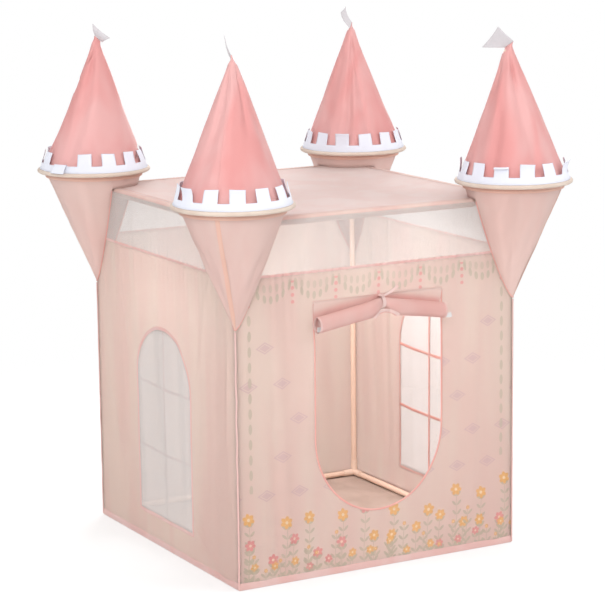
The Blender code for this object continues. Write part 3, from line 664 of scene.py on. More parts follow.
def panel_mesh(outline, holes, across_step, up_step, place):
    """A flat cut of cloth as triangles, with each (across, height) point put in its place."""
    loops = [resampled(line, EDGE_STEP, True) for line in [outline, *holes]]
    points, edges = [], []
    for loop in loops:
        start = len(points)
        points += loop
        edges += [(start + i, start + (i + 1) % len(loop)) for i in range(len(loop))]
    buckets = {}
    for point in points:
        buckets.setdefault(bucket(point), []).append(point)

    def on_cloth(point):
        return inside(point, loops[0]) and not any(inside(point, hole) for hole in loops[1:])

    low, high = (Vector((pick(p.x for p in loops[0]), pick(p.y for p in loops[0])))
                 for pick in (min, max))
    for r in range(1, int((high.y - low.y) / up_step)):
        for c in range(1, int((high.x - low.x) / across_step)):
            point = Vector((low.x + (c + 0.5 * (r % 2)) * across_step, low.y + r * up_step))
            if not on_cloth(point):
                continue
            column, row = bucket(point)
            near = [
                p for dx in (-1, 0, 1) for dy in (-1, 0, 1)
                for p in buckets.get((column + dx, row + dy), ())
            ]
            if all((p - point).length > 0.6 * across_step for p in near):
                points.append(point)
    made = geometry.delaunay_2d_cdt(points, edges, [], 0, MERGE)
    bm = bmesh.new()
    verts = [bm.verts.new(place(p.x, p.y)) for p in made[0]]
    area = 0.0
    for corners in made[2]:
        a, b, c = (made[0][i] for i in corners)
        if on_cloth((a + b + c) / 3):
            bm.faces.new([verts[i] for i in corners])
            area += abs((b - a).cross(c - a)) / 2
    bmesh.ops.delete(bm, geom=[v for v in bm.verts if not v.link_faces], context="VERTS")
    return bm, area


# The walls' surface

FOLD_DEPTH = 0.0050
FOLDS_PER_METRE = 7
GATHER_PERIOD = 0.028
GATHER_DEPTH = 0.0052
GATHER_FALL = 0.085
GATHER_RISE = 0.020
CORNER_FADE = 0.045
NET_FOLD_SHARE = 0.35
CRUMPLE = (0.0008, 0.0003)
# The cloth lies flat round the doorway and behind the rolled flap
DOOR_MARGIN = 0.010
FLAP_ZONE = (0.780, 0.885)
FLAP_FADE = 0.060
WALL_ANGLE = math.asin(HOOP_INSET / FUNNEL_RADIUS)
SEAM_REACH = FUNNEL_RADIUS * math.cos(WALL_ANGLE) + HOOP_INSET

# Creases in each wall, as (across, height) ends, a width and a depth
CREASES = {
    "left": (
        (0.200, 0.130, 0.440, 0.020, 0.012, 0.0040),
        (0.455, 0.740, 0.440, 0.440, 0.010, 0.0035),
        (-0.300, 0.900, -0.240, 0.640, 0.016, 0.0040),
        (-0.410, 0.520, -0.250, 0.110, 0.018, 0.0035),
        (0.330, 0.930, 0.250, 0.620, 0.014, 0.0030),
    ),
    "right": (
        (-0.430, 0.900, -0.300, 0.300, 0.022, 0.0060),
        (0.420, 0.930, 0.350, 0.200, 0.024, 0.0075),
        (0.300, 0.860, 0.270, 0.120, 0.020, 0.0060),
        (-0.250, 0.100, -0.400, 0.020, 0.014, 0.0040),
    ),
    "front": (
        (-0.360, 0.900, -0.330, 0.120, 0.022, 0.0050),
        (0.370, 0.900, 0.340, 0.150, 0.022, 0.0050),
        (-0.240, 0.240, -0.420, 0.030, 0.016, 0.0035),
        (0.180, 0.180, 0.430, 0.040, 0.016, 0.0035),
    ),
    "back": (
        (-0.300, 0.950, -0.250, 0.100, 0.026, 0.0060),
        (0.050, 0.950, 0.110, 0.150, 0.026, 0.0060),
        (0.360, 0.900, 0.300, 0.100, 0.022, 0.0050),
        (-0.050, 0.500, -0.350, 0.030, 0.020, 0.0040),
    ),
}
SEEDS = {"front": 3.1, "right": 7.7, "back": 12.9, "left": 21.3}


def seam_distance(height):
    """How far from the tent's corner the funnel leaves the wall, at a height."""
    share = (height - FUNNEL_TIP) / (FUNNEL_TOP - FUNNEL_TIP)
    return SEAM_REACH * max(share, 0.0) ** FUNNEL_BULGE


def crease(across, height, line):
    """A ridge along a line, running out at both ends."""
    x0, z0, x1, z1, width, depth = line
    along = Vector((x1 - x0, z1 - z0))
    spot = Vector((across - x0, height - z0))
    share = spot.dot(along) / along.length_squared
    if not -0.2 < share < 1.2:
        return 0.0
    off = abs(spot.cross(along)) / along.length
    ends = ease(share / 0.3 + 0.5) * ease((1 - share) / 0.3 + 0.5)
    return depth * ends * math.exp(-((off / width) ** 2))


def wall_out(side, across, height):
    """How far a wall's cloth stands out of its plane."""
    seed = SEEDS[side]
    corner = ease((HALF - abs(across) - seam_distance(height)) / CORNER_FADE)
    drift = rough(across * 2.3, height * 1.1, seed)
    wave = swell(FOLDS_PER_METRE * across + 0.55 * drift)
    second = swell(2.1 * FOLDS_PER_METRE * across + 1.3 * drift + seed)
    hang = 0.35 + 0.65 * min(height / NET_SEAM, 1.0)
    held = 0.30 + 0.70 * ease(abs(height - NET_SEAM) / 0.09)
    out = FOLD_DEPTH * hang * held * (0.72 * wave + 0.28 * second)
    if height < NET_SEAM:
        fall = math.exp(-(NET_SEAM - height) / GATHER_FALL)
    else:
        fall = math.exp(-(height - NET_SEAM) / GATHER_RISE)
        out *= NET_FOLD_SHARE
    shift = rough(across * 11.0, 0.4 * seed, height * 3.0)
    out += GATHER_DEPTH * fall * swell(across / GATHER_PERIOD + 0.7 * shift) * (0.6 + 0.4 * shift)
    for line in CREASES[side]:
        out += crease(across, height, line)
    out += CRUMPLE[0] * (rough(across * 16.0, height * 7.0, seed) + 0.5)
    out += CRUMPLE[1] * (rough(across * 34.0, height * 19.0, seed + 5) + 0.5)
    out *= corner
    if side == "front":
        beside = max(abs(across) - DOOR_HALF - DOOR_MARGIN, 0.0)
        above = max(FLAP_ZONE[0] - height, height - FLAP_ZONE[1], 0.0)
        out *= ease(math.hypot(beside, above) / FLAP_FADE)
    return max(out, 0.0) * (0.25 + 0.75 * ease(height / 0.060))


def on_wall(side, turn, lift=0.0):
    """A function that puts an (across, height) point on a wall's cloth."""
    def place(across, height):
        return turned(turn, (across, -HALF - wall_out(side, across, height) - lift, height))
    return place


def along_wall(side, turn, points, lift, closed=False, step=EDGE_STEP):
    """A path on a wall's cloth, with the wall's outward direction."""
    place = on_wall(side, turn, lift)
    path = [place(p[0], p[1]) for p in resampled([(*q, 0.0) for q in points], step, closed)]
    return path, turned(turn, DOWN_Y)


def wall_outline(low, high, clearance=0.0015):
    """A wall's cut between two heights, with the funnels' seams left out at its ends."""
    foot = max(FUNNEL_TIP, low)
    heights = [foot + (high - foot) * share for share in shares(16)]
    right = [(HALF - clearance - seam_distance(height), height) for height in heights]
    if low < FUNNEL_TIP:
        right = [(HALF - clearance, low)] + right
    return right + [(-x, z) for x, z in reversed(right)]


def arc(half, spring, rise, start):
    """Half an ellipse about the spring line, from an angle of 0 or pi."""
    steps = 40
    angles = [start + math.pi * i / steps for i in range(steps + 1)]
    return [(half * math.cos(a), spring + rise * math.sin(a)) for a in angles]


def door_outline(clearance=0.0, head=((DOOR_HALF, DOOR_HEAD), (-DOOR_HALF, DOOR_HEAD))):
    """The doorway's rounded sill, then its head."""
    rise = DOOR_SPRING - DOOR_SILL - clearance
    return arc(DOOR_HALF - clearance, DOOR_SPRING, rise, math.pi) + list(head)


def window_outline(clearance):
    half, sill = WINDOW_HALF - clearance, WINDOW_SILL + clearance
    arch = arc(half, WINDOW_SPRING, WINDOW_APEX - WINDOW_SPRING - clearance, 0.0)
    return arch + [(-half, sill), (half, sill)]


def make_walls():
    holes = {"front": [door_outline()], "back": []}
    for side, turn in WALLS:
        cut = holes.get(side, [window_outline(0.0)])
        bm, area = panel_mesh(wall_outline(0.001, NET_SEAM), cut, GRID_ACROSS, GRID_UP,
                              on_wall(side, turn))
        finish = "printed_cloth" if side == "front" else "wall_cloth"
        wall = piece("wall_cloth_" + side, bm, finish, "wall_cloth", thickness=CLOTH)
        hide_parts("wall_" + side)
        bm, strip = panel_mesh(wall_outline(NET_SEAM, NET_TOP), [], NET_GRID, NET_GRID,
                               on_wall(side, turn, 0.0002))
        mesh = piece("wall_net_" + side, bm, "net", "net", thickness=CLOTH / 4)
        # the hem on the floor and the seam between cloth and net
        end, low = HALF - 0.0015, HEM / 2 + 0.0006
        path, up = along_wall(side, turn, [(-end, low), (end, low)], 0.0002)
        trim("wall_hem_" + side, path, up)
        end = HALF - seam_distance(NET_SEAM) - 0.001
        path, up = along_wall(side, turn, [(-end, NET_SEAM), (end, NET_SEAM)], 0.0003, step=0.004)
        trim("net_seam_" + side, path, up)


def make_windows():
    """Each side wall's window: its net, the binding round it and the ribbon bars behind it."""
    height = WINDOW_APEX - WINDOW_SILL
    for side, turn in (("right", 90), ("left", 270)):
        bm, area = panel_mesh(window_outline(0.001), [], NET_GRID, NET_GRID,
                              on_wall(side, turn, -0.0002))
        mesh = piece("window_mesh_" + side, bm, "window_net", "net", thickness=CLOTH / 4)
        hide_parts("window_net_" + side)
        path, up = along_wall(side, turn, window_outline(-BINDING / 2 + 0.002), 0.0003, True)
        rim = trim("window_binding_" + side, path, up, closed=True)
        lines = []
        for share in WINDOW_BARS:
            level = WINDOW_SILL + share * height
            lift = max(level - WINDOW_SPRING, 0.0) / (WINDOW_APEX - WINDOW_SPRING)
            end = WINDOW_HALF * math.sqrt(1 - lift * lift)
            line = [(end * (2 * s - 1), level - BAR_SAG * math.sin(math.pi * s)) for s in shares(16)]
            lines.append((line, BAR_LIFTS[0]))
        lines.append(([(0, WINDOW_SILL), (0, WINDOW_APEX)], BAR_LIFTS[1]))
        bars = [sweep_mesh(*along_wall(side, turn, *line), *BAR_HALVES) for line in lines]
        cross = piece("window_bars_" + side, joined(*bars), "coral_piping", "net")


def make_doorway():
    head = DOOR_HEAD - 0.002
    points = [(-DOOR_HALF, head), *door_outline(0.001, ()), (DOOR_HALF, head)]
    trim("doorway_binding", *along_wall("front", 0, points, -0.0003))


def make_corner_seams():
    """The upright seams at the tent's corners, up to the funnels' tips."""
    low, high, out = 0.003, FUNNEL_TIP - 0.006, HALF + 0.0005
    for corner, (x, y, _) in TOWERS.items():
        path = []
        for share in shares(110):
            height = low + (high - low) * share
            drift = rough(height * 16, x * 3.0, y * 5.0) * 0.0016
            path.append(Vector((x * (out + drift), y * (out - drift), height)))
        trim("corner_seam_" + corner, path, Vector((x, y, 0)).normalized())


# Towers. In a tower's own frame the tent's middle lies towards (1, 1), or with a further turn of 45
# degrees towards (1, 0)

FUNNEL_START = math.pi / 2 + WALL_ANGLE
FUNNEL_SWEEP = 2 * (math.pi - FUNNEL_START) + math.pi / 2
FUNNEL_COLUMNS = 72
FUNNEL_LEVELS = 34
# The shares of the funnel's height at its rows, closer together near the tip
FUNNEL_SHARES = [share**1.25 for share in shares(FUNNEL_LEVELS)]
BRIDGE_COLUMNS = 20
HEM_DROP = 0.006
HOOP_STEPS = 128
HOOP_SIDES = 14
HOOP_PUCKER = 0.0003


def tower_matrix(corner, extra=0):
    x, y, turn = TOWERS[corner]
    spot = Matrix.Translation((x * HOOP_AXIS, y * HOOP_AXIS, 0))
    return spot @ Matrix.Rotation(math.radians(turn + extra), 4, "Z")


def ring_path(matrix, count, radius, height):
    """A level circle round a tower, with its outward directions."""
    turn = matrix.to_3x3()
    return ([matrix @ around(angle, radius, height) for angle in circle(count)],
            [turn @ around(angle, 1.0, 0.0) for angle in circle(count)])


def funnel_point(share_round, share_up, seed):
    """A point of the funnel's outer cloth, from its seam on one wall round to the other."""
    angle = FUNNEL_START + FUNNEL_SWEEP * share_round
    top = around(angle, FUNNEL_RADIUS, FUNNEL_TOP)
    tip = Vector((-HOOP_INSET, -HOOP_INSET, FUNNEL_TIP))
    from_wall = ease(min(share_round, 1 - share_round) * 4)
    power = FUNNEL_BULGE + (1 - FUNNEL_BULGE) * from_wall
    spot = tip + (top - tip) * share_up**power
    spot.z = tip.z + (top.z - tip.z) * share_up
    soft = rough(math.cos(angle) * 2.2 + seed, math.sin(angle) * 2.2, share_up * 3.0)
    fine = rough(math.cos(angle) * 5 + seed, math.sin(angle) * 5, share_up * 22.0)
    ripple = 0.0055 * soft + 0.0022 * fine * ease((share_up - 0.35) / 0.3)
    return spot + around(angle, 1.0, -0.3) * (from_wall * math.sin(math.pi * share_up)) * ripple


def funnel_rows(seed):
    """The funnel's cloth outside the walls, with its turned-in rim under the hoop."""
    columns = shares(FUNNEL_COLUMNS)
    rows = [[funnel_point(column, level, seed) for column in columns] for level in FUNNEL_SHARES]
    for step in (0.35, 0.75, 1.0):
        radius = FUNNEL_RADIUS + (HOOP_RADIUS + 0.001 - FUNNEL_RADIUS) * step
        level = FUNNEL_TOP + (FUNNEL_RIM - FUNNEL_TOP) * ease(step)
        rows.append([around(FUNNEL_START + FUNNEL_SWEEP * column, radius, level) for column in columns])
    return rows


def funnel_bridge(rows):
    """The cloth that closes the funnel on the tent's side, from the roof up."""
    roof_row = min(range(FUNNEL_LEVELS + 1), key=lambda r: abs(rows[r][0].z - ROOF_HEIGHT))
    picks = (roof_row, (roof_row + FUNNEL_LEVELS) // 2, FUNNEL_LEVELS,
             len(rows) - 3, len(rows) - 2, len(rows) - 1)
    bridge = []
    for r in picks:
        end, start = rows[r][-1], rows[r][0]
        radius = math.hypot(start.x, start.y)
        height = ROOF_HEIGHT - 0.004 if r == roof_row else start.z
        turns = [(math.tau - FUNNEL_SWEEP) * share for share in shares(BRIDGE_COLUMNS)[1:-1]]
        inner = [around(FUNNEL_START + FUNNEL_SWEEP + turn, radius, height) for turn in turns]
        bridge.append([end, *inner, start])
    return bridge


def make_funnels():
    for index, corner in enumerate(TOWERS):
        matrix = tower_matrix(corner)
        turn = matrix.to_3x3()
        seed = 5.0 * index
        rows = funnel_rows(seed)
        groups = [
            [[matrix @ Vector((p.x, p.y, min(p.z, FUNNEL_RIM))) for p in row] for row in group]
            for group in (rows, funnel_bridge(rows))
        ]
        made = piece("funnel_cloth_" + corner, rows_mesh(*groups), "funnel_cloth", "funnel_cloth",
                     thickness=CLOTH)
        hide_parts("funnel_" + corner)
        ring = ring_path(matrix, 96, FUNNEL_RADIUS + 0.0015, FUNNEL_TOP - HEM_DROP)
        hem = trim("funnel_hem_" + corner, *ring, closed=True)
        # the tape over the seam on the outward diagonal
        path = [matrix @ (funnel_point(0.5, level, seed) + Vector((-0.0004, -0.0004, 0)))
                for level in FUNNEL_SHARES]
        up = turn @ Vector((-1, -1, -0.4)).normalized()
        tape = trim("funnel_tape_" + corner, path, up)
        make_seam_piping(corner, matrix, turn)


def make_seam_piping(corner, matrix, turn):
    """The piping where the funnel is sewn to the walls, down one wall and up the other."""
    out = -HOOP_INSET - 0.0012
    down, rise = [], []
    for share in shares(59):
        height = FUNNEL_TIP + (NET_TOP - FUNNEL_TIP) * share**1.6
        reach = seam_distance(height) - HOOP_INSET
        down.insert(0, matrix @ Vector((reach, out, height)))
        rise.append(matrix @ Vector((out, reach, height)))
    ups = [turn @ DOWN_Y] * len(down) + [turn @ Vector((-1, 0, 0))] * (len(rise) - 1)
    trim("funnel_piping_" + corner, down + rise[1:], ups)


def make_hoops():
    for corner in TOWERS:
        matrix = tower_matrix(corner)
        bm = bmesh.new()
        rings = []
        for angle in circle(HOOP_STEPS):
            tube = HOOP_TUBE + HOOP_PUCKER * math.sin(angle * 40)
            rings.append([
                bm.verts.new(matrix @ around(angle, HOOP_RADIUS + tube * math.cos(turn),
                                             HOOP_HEIGHT + tube * math.sin(turn)))
                for turn in circle(HOOP_SIDES)
            ])
        hoop = piece("hoop_casing_" + corner, skin(bm, rings, True), "hoop_casing", "hoop_casing")
        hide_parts("hoop_" + corner)


# Each tower: the slit at the cone's tip as (distance from the axis, height) of its two ends, towards
# the tent's middle, and its creases as (angle at the tip, at the foot, width in degrees, depth, from, to)
TIPS = {
    "front_left": ((0.008, 1.633), (0.032, 1.615)),
    "front_right": ((0.004, 1.626), (0.030, 1.607)),
    "back_right": ((0.008, 1.633), (0.032, 1.615)),
    "back_left": ((0.016, 1.631), (0.036, 1.613)),
}
CONE_CREASES = {
    "front_left": (
        (292, 256, 9, 0.0070, 0.00, 0.62), (212, 196, 13, 0.0045, 0.12, 0.95),
        (235, 236, 10, -0.0025, 0.05, 0.90), (300, 325, 14, 0.0045, 0.30, 1.10),
        (60, 30, 18, 0.0050, 0.00, 0.90), (110, 120, 16, 0.0050, 0.00, 0.80),
    ),
    "front_right": (
        (160, 176, 10, 0.0065, 0.00, 1.10), (128, 120, 9, 0.0040, 0.45, 1.10),
        (145, 146, 12, -0.0025, 0.10, 0.90), (200, 172, 6, 0.0050, 0.70, 0.92),
        (95, 85, 14, 0.0045, 0.10, 0.90), (300, 310, 18, 0.0050, 0.00, 0.90),
        (30, 45, 18, 0.0050, 0.00, 0.90),
    ),
    "back_right": (
        (62, 50, 6, 0.0065, 0.00, 1.10), (68, 84, 7, 0.0060, 0.00, 1.10),
        (60, 66, 7, -0.0025, 0.10, 1.00), (20, 10, 13, 0.0045, 0.20, 1.00),
        (160, 170, 18, 0.0050, 0.00, 0.90), (230, 225, 18, 0.0050, 0.00, 0.90),
        (300, 290, 18, 0.0050, 0.00, 0.90),
    ),
    "back_left": (
        (346, 8, 7, 0.0075, 0.00, 1.10), (356, 22, 6, 0.0050, 0.30, 1.10),
        (330, 300, 11, 0.0050, 0.00, 1.10), (338, 336, 12, -0.0025, 0.10, 0.90),
        (250, 240, 18, 0.0050, 0.00, 0.90), (160, 165, 18, 0.0050, 0.00, 0.90),
        (90, 95, 18, 0.0050, 0.00, 0.90),
    ),
}
SLIT_BLEND = 0.020
SLIT_HALF = 0.0012
CREASE_WIDER = 0.8
CREASE_DEEPER = 1.5
CONE_COLUMNS = 144
CONE_LEVELS = 60


def cone_point(corner, angle, share):
    """A point of the pointed roof. The angle is from the tent's middle, share 1 is at the tip."""
    (u0, z0), (u1, z1) = TIPS[corner]
    toward, aside = math.cos(angle), math.sin(angle)
    top = (z0 + z1) / 2 + (z1 - z0) / 2 * toward
    height = HOOP_HEIGHT + share * (top - HOOP_HEIGHT)
    dent = 0.0
    for tip, foot, width, depth, low, high in CONE_CREASES[corner]:
        line = math.radians(foot + (tip - foot) * share - 45)
        off = (angle - line + math.pi) % math.tau - math.pi
        spread = math.radians(CREASE_WIDER * width) * (1 + 0.8 * share)
        ends = ease((1 - share - low) / 0.12 + 0.5) * ease((high - (1 - share)) / 0.25)
        dent += CREASE_DEEPER * depth * ends * math.exp(-((off / spread) ** 2))
    seed = len(corner)
    soft = rough(toward * 1.6, aside * 1.6, share * 2.5 + seed)
    fine = rough(toward * 4, aside * 4, share * 6.0 + seed)
    held = ease((0.96 - share) / 0.14) * ease(share / 0.12)
    radius = CONE_SLOPE * (CONE_APEX - height) + (-dent + 0.0035 * soft + 0.0015 * fine) * held
    whole = around(angle, radius, height) + Vector((CONE_LEAN * (height - HOOP_HEIGHT), 0, 0))
    slit = Vector(((u0 + u1) / 2 + (u1 - u0) / 2 * toward, SLIT_HALF * aside, height))
    return whole.lerp(slit, max(0.0, (share - 1) * (top - HOOP_HEIGHT) / SLIT_BLEND + 1))


def make_cones():
    levels = shares(CONE_LEVELS)
    for corner in TOWERS:
        matrix = tower_matrix(corner, 45)
        rows = [
            [matrix @ cone_point(corner, math.tau * column, 1 - (1 - level) ** 1.3)
             for column in shares(CONE_COLUMNS)]
            for level in levels
        ]
        cone = piece("cone_cloth_" + corner, rows_mesh(rows), "cone_cloth", "cone_cloth", thickness=CLOTH)
        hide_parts("cone_" + corner)
        seam = [matrix @ cone_point(corner, math.pi, level) for level in levels]
        trim("cone_seam_" + corner, seam, matrix.to_3x3() @ Vector((-1, 0, 0.38)).normalized())


BAND_RADIUS = 0.1775
BAND_FOOT = HOOP_HEIGHT + 0.0061
BAND_STRIP = 0.023
STRIP_LEAN = 0.0052
STRIP_ROWS = 4
MERLONS = 13
MERLON_SHARE = 0.58
MERLON_HEIGHT = 0.041
MERLON_LEAN = -11
MERLON_CUP = 0.0018
MERLON_SKEW = 0.06
MERLON_COLUMNS = 8
MERLON_ROWS = 12
GAP_COLUMNS = 5
BAND_TURNS = {"front_left": -10, "front_right": -14, "back_right": 11, "back_left": 13}
# Each merlon's lean out in degrees and its curl, from the one nearest the tower's +X, anticlockwise
MERLON_BENDS = {
    "front_left": ((-8, 10), (-4, -8), (-10, 6), (2, 14), (-6, -6), (-12, 8), (-5, 12), (8, 30),
                   (-6, -10), (4, 22), (-9, 5), (-7, -9), (-5, 9)),
    "front_right": ((-6, 8), (-8, -10), (2, 18), (-10, 6), (-4, 10), (-6, 10), (6, 26), (-8, -8),
                    (10, 42), (-8, 6), (-10, -8), (-6, 10), (-4, -10)),
    "back_right": ((-7, 9), (3, 24), (-9, -8), (-6, 8), (-10, 10), (-5, -8), (-8, 8), (-6, 14),
                   (-9, -10), (2, 16), (-7, 7), (-8, -6), (-5, 10)),
    "back_left": ((-6, 9), (-9, -10), (-8, 8), (-5, 16), (-10, -8), (-6, 10), (-4, 8), (-4, 10),
                  (-9, 8), (-6, -9), (6, 28), (-8, 8), (-7, -8)),
}
# The merlons that are folded over: the share of the height at which they fold, and the angle
FOLDED = {("front_right", 5): (0.70, 150), ("back_left", 10): (0.02, 135)}


def band_strip(bm, corner, matrix):
    """The band's strip, as (angle, radius at the top, vertices going up) for each column."""
    x, y, _ = TOWERS[corner]
    columns = []
    for m in range(MERLONS):
        cuts = [MERLON_SHARE * share for share in shares(MERLON_COLUMNS)[:-1]]
        cuts += [MERLON_SHARE + (1 - MERLON_SHARE) * share for share in shares(GAP_COLUMNS)[:-1]]
        for share in cuts:
            angle = math.tau * (m + share) / MERLONS
            wavy = 0.0012 * rough(math.cos(angle) * 6, math.sin(angle) * 6, x + 3.0 * y)
            column = []
            for up in shares(STRIP_ROWS):
                radius = BAND_RADIUS - STRIP_LEAN * up + wavy * up
                column.append(bm.verts.new(matrix @ around(angle, radius, BAND_FOOT + BAND_STRIP * up)))
            columns.append((angle, radius, column))
    return columns


def merlon_column(bm, corner, matrix, m, k, foot):
    """The vertices of a merlon's column above the strip: it leans, curls, cups and may fold over."""
    lean, curl = MERLON_BENDS[corner][m]
    fold_at, fold = FOLDED.get((corner, m), (1.0, 0.0))
    angle, radius, column = foot
    height = BAND_FOOT + BAND_STRIP
    skew = 1 + MERLON_SKEW * (k / MERLON_COLUMNS - 0.5) * (m % 3 - 1)
    step = MERLON_HEIGHT * skew / MERLON_ROWS
    cup = MERLON_CUP * math.sin(math.pi * k / MERLON_COLUMNS) * (1 if m % 2 else -1)
    verts = [column[-1]]
    for up in shares(MERLON_ROWS)[1:]:
        bend = math.radians(lean + MERLON_LEAN + curl * up * up + fold * ease((up - fold_at) / 0.25))
        radius += step * math.sin(bend)
        height += step * math.cos(bend)
        verts.append(bm.verts.new(matrix @ around(angle, radius + cup * up, height)))
    return verts


def make_bands():
    """Each tower's strip of white felt, cut into merlons along its top."""
    for corner in TOWERS:
        matrix = tower_matrix(corner, BAND_TURNS[corner])
        bm = bmesh.new()
        feet = band_strip(bm, corner, matrix)
        pairs = [(a[2], b[2]) for a, b in zip(feet, feet[1:] + feet[:1])]
        for m in range(MERLONS):
            first = m * (MERLON_COLUMNS + GAP_COLUMNS)
            columns = [
                merlon_column(bm, corner, matrix, m, k, feet[(first + k) % len(feet)])
                for k in range(MERLON_COLUMNS + 1)
            ]
            pairs += zip(columns, columns[1:])
        for here, beyond in pairs:
            for r in range(len(here) - 1):
                bm.faces.new((here[r], beyond[r], beyond[r + 1], here[r + 1]))
        band = piece("felt_band_" + corner, bm, "band_felt", "band_felt", thickness=FELT)
        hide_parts("crenellated_band_" + corner)
        # the stitched edge where the band meets the hoop
        ring = ring_path(matrix, 128, BAND_RADIUS + 0.0006, BAND_FOOT + 0.0018)
        trim("band_stitching_" + corner, *ring, closed=True)


# Each flag's outline in the diagonal plane: (towards the tent's middle, height above the tip's level)
# at the root's two ends and at the far edge's two ends, with a lean sideways, a curl and a turn
FLAGS = {
    "front_left": ((0.008, 0.013), (0.034, -0.006), (0.012, 0.070), (0.060, 0.052), 17, 0.004, 0.28),
    "front_right": ((0.002, 0.007), (0.030, -0.013), (0.050, 0.053), (0.102, -0.013), 3, 0.007, 0.0),
    "back_right": ((0.008, 0.013), (0.034, -0.006), (0.014, 0.068), (0.064, 0.050), -20, -0.008, 0.0),
    "back_left": ((0.016, 0.012), (0.041, -0.010), (0.011, 0.051), (0.072, 0.005), -4, -0.008, 0.0),
}
FLAG_LEVEL = 1.620
FLAG_STEPS = 22
FLAG_HOLLOW = 0.0025
FLAG_WAVE = 0.0018


def make_flags():
    steps = shares(FLAG_STEPS)
    for corner in TOWERS:
        matrix = tower_matrix(corner, 45)
        *ends, lean, curl, twist = FLAGS[corner]
        near, far, top, end = (Vector(point) for point in ends)
        rows = []
        for out in steps:
            row = []
            for side in steps:
                root, edge = near.lerp(far, side), top.lerp(end, side)
                hollow = FLAG_HOLLOW * math.sin(math.pi * side) * out * out
                flat = root.lerp(edge, out) - (edge - root).normalized() * hollow
                off = math.sin(math.radians(lean)) * (out * (edge - root).length)
                off += curl * math.sin(math.pi * out * 0.9)
                off += FLAG_WAVE * math.sin(math.pi * 1.6 * side + 1) * out + twist * (flat.x - near.x)
                row.append(matrix @ Vector((flat.x, off, FLAG_LEVEL + flat.y)))
            rows.append(row)
        flag = piece("felt_flag_" + corner, rows_mesh(rows), "flag_felt", "flag_felt", thickness=FELT)
        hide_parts("flag_" + corner)
        width, root = (end - top).length, (far - near).length
        length = (top + end - near - far).length / 2
        max(width, root)
        0.95 * length * (width + root) / 2


# Roof and ground sheet

SLEEVE = 0.0132
SLEEVE_SIDES = 18
SLEEVE_STEPS = 90
ROOF_SAG = 0.014
ROOF_CUT = SEAM_REACH * ((ROOF_HEIGHT - FUNNEL_TIP) / (FUNNEL_TOP - FUNNEL_TIP)) ** FUNNEL_BULGE


def roof_place(x, y):
    """The roof sags between its tubes, with soft folds and a gathered edge."""
    edge = AXIS - max(abs(x), abs(y))
    corner = (2 * HALF - ROOF_CUT - abs(x) - abs(y)) / math.sqrt(2)
    clear = ease(min(edge, corner) / 0.22)
    soft = rough(x * 4.2, y * 4.2, 2.0)
    fine = rough(x * 11.0, y * 11.0, 9.0)
    pulled = abs(rough((x + y) * 5.0, (x - y) * 1.6, 5.0))
    drop = clear * (ROOF_SAG + 0.006 * soft + 0.0025 * fine + 0.007 * pulled)
    drop += 0.0020 * swell((x + y) / 0.05) * ease(1 - edge / 0.05) * ease(edge / 0.01)
    return Vector((x, y, ROOF_HEIGHT - 0.0005 - max(drop, 0.0)))


def make_roof():
    near, far = 2 * HALF - ROOF_CUT + 0.001 - AXIS, AXIS
    outline = [(near, -far), (far, -near), (far, near), (near, far),
               (-near, far), (-far, near), (-far, -near), (-near, -far)]
    bm, area = panel_mesh(outline, [], ROOF_GRID, ROOF_GRID, roof_place)
    roof = piece("roof_cloth", bm, "roof_cloth", "roof_cloth", thickness=CLOTH)
    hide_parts("roof_panel")
    reach = HALF - ROOF_CUT - 0.0015
    for side, turn in WALLS:
        rows = []
        for share in shares(SLEEVE_SIDES):
            angle = math.radians(330 * share - 100)
            row = []
            for step in shares(SLEEVE_STEPS):
                along = reach * (2 * step - 1)
                ripple = 0.0006 * math.sin(along * math.tau / 0.021 + 2 * math.sin(along * 30))
                radius = SLEEVE - 0.0002 + ripple * (1 - abs(math.cos(angle)) * 0.5)
                y = min(max(-AXIS - radius * math.sin(angle), -HALF - 0.0002), -0.40)
                z = ROOF_HEIGHT - SLEEVE + radius * math.cos(angle)
                row.append(turned(turn, (along, y, z)))
            rows.append(row)
        sleeve = piece("roof_sleeve_" + side, rows_mesh(rows), "sleeve_cloth", "roof_cloth",
                       thickness=CLOTH / 2)
        2 * reach
        line = [turned(turn, (reach * (2 * step - 1), -AXIS + 0.0155, ROOF_HEIGHT - 0.0003))
                for step in shares(60)]
        trim("sleeve_stitch_" + side, line, Vector((0, 0, 1)))


def floor_place(x, y):
    """The ground sheet lies with sharp little ridges, and flat along its edges."""
    edge = ease((0.470 - max(abs(x), abs(y))) / 0.09)
    big = abs(rough(x * 5.5 + 3, y * 4.5, 1.0))
    sharp = 1 - abs(rough(x * 9.0, y * 7.0 + 4, 6.0)) * 2.4
    fine = 1 - abs(rough(x * 22.0, y * 19.0, 11.0)) * 2.0
    rise = 0.010 * big + 0.006 * max(sharp, 0.0) ** 2 + 0.0022 * max(fine, 0.0)
    return Vector((x, y, 0.0012 + edge * rise))


def make_ground_sheet():
    half = HALF - 0.0016
    outline = [(-half, -half), (half, -half), (half, half), (-half, half)]
    bm, area = panel_mesh(outline, [], GROUND_GRID, GROUND_GRID, floor_place)
    made = piece("ground_cloth", bm, "floor_cloth", "floor_cloth", thickness=CLOTH)
    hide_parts("ground_sheet")


# Door flap, rolled up and tied


def hump(across, width):
    """A bell-shaped rise about the middle."""
    return math.exp(-((2 * across / width) ** 2))


def roll_radius(across):
    bunched = ROLL_RADIUS + ROLL_BUNCH * hump(across, ROLL_BUNCH_WIDTH)
    return bunched * (1 - (1 - ROLL_PINCH_SHARE) * hump(across, ROLL_PINCH_WIDTH))


def roll_centre(across):
    drawn = 1 - math.sqrt(across * across + 0.0009) / (ROLL_LENGTH / 2)
    radius = roll_radius(across)
    rise = (ROLL_MIDDLE_HEIGHT - ROLL_END_HEIGHT) * drawn + 0.003 + (ROLL_RADIUS - radius)
    return Vector((across, -HALF - FLAP_STAND_OFF - radius - 0.0004, ROLL_END_HEIGHT + rise))


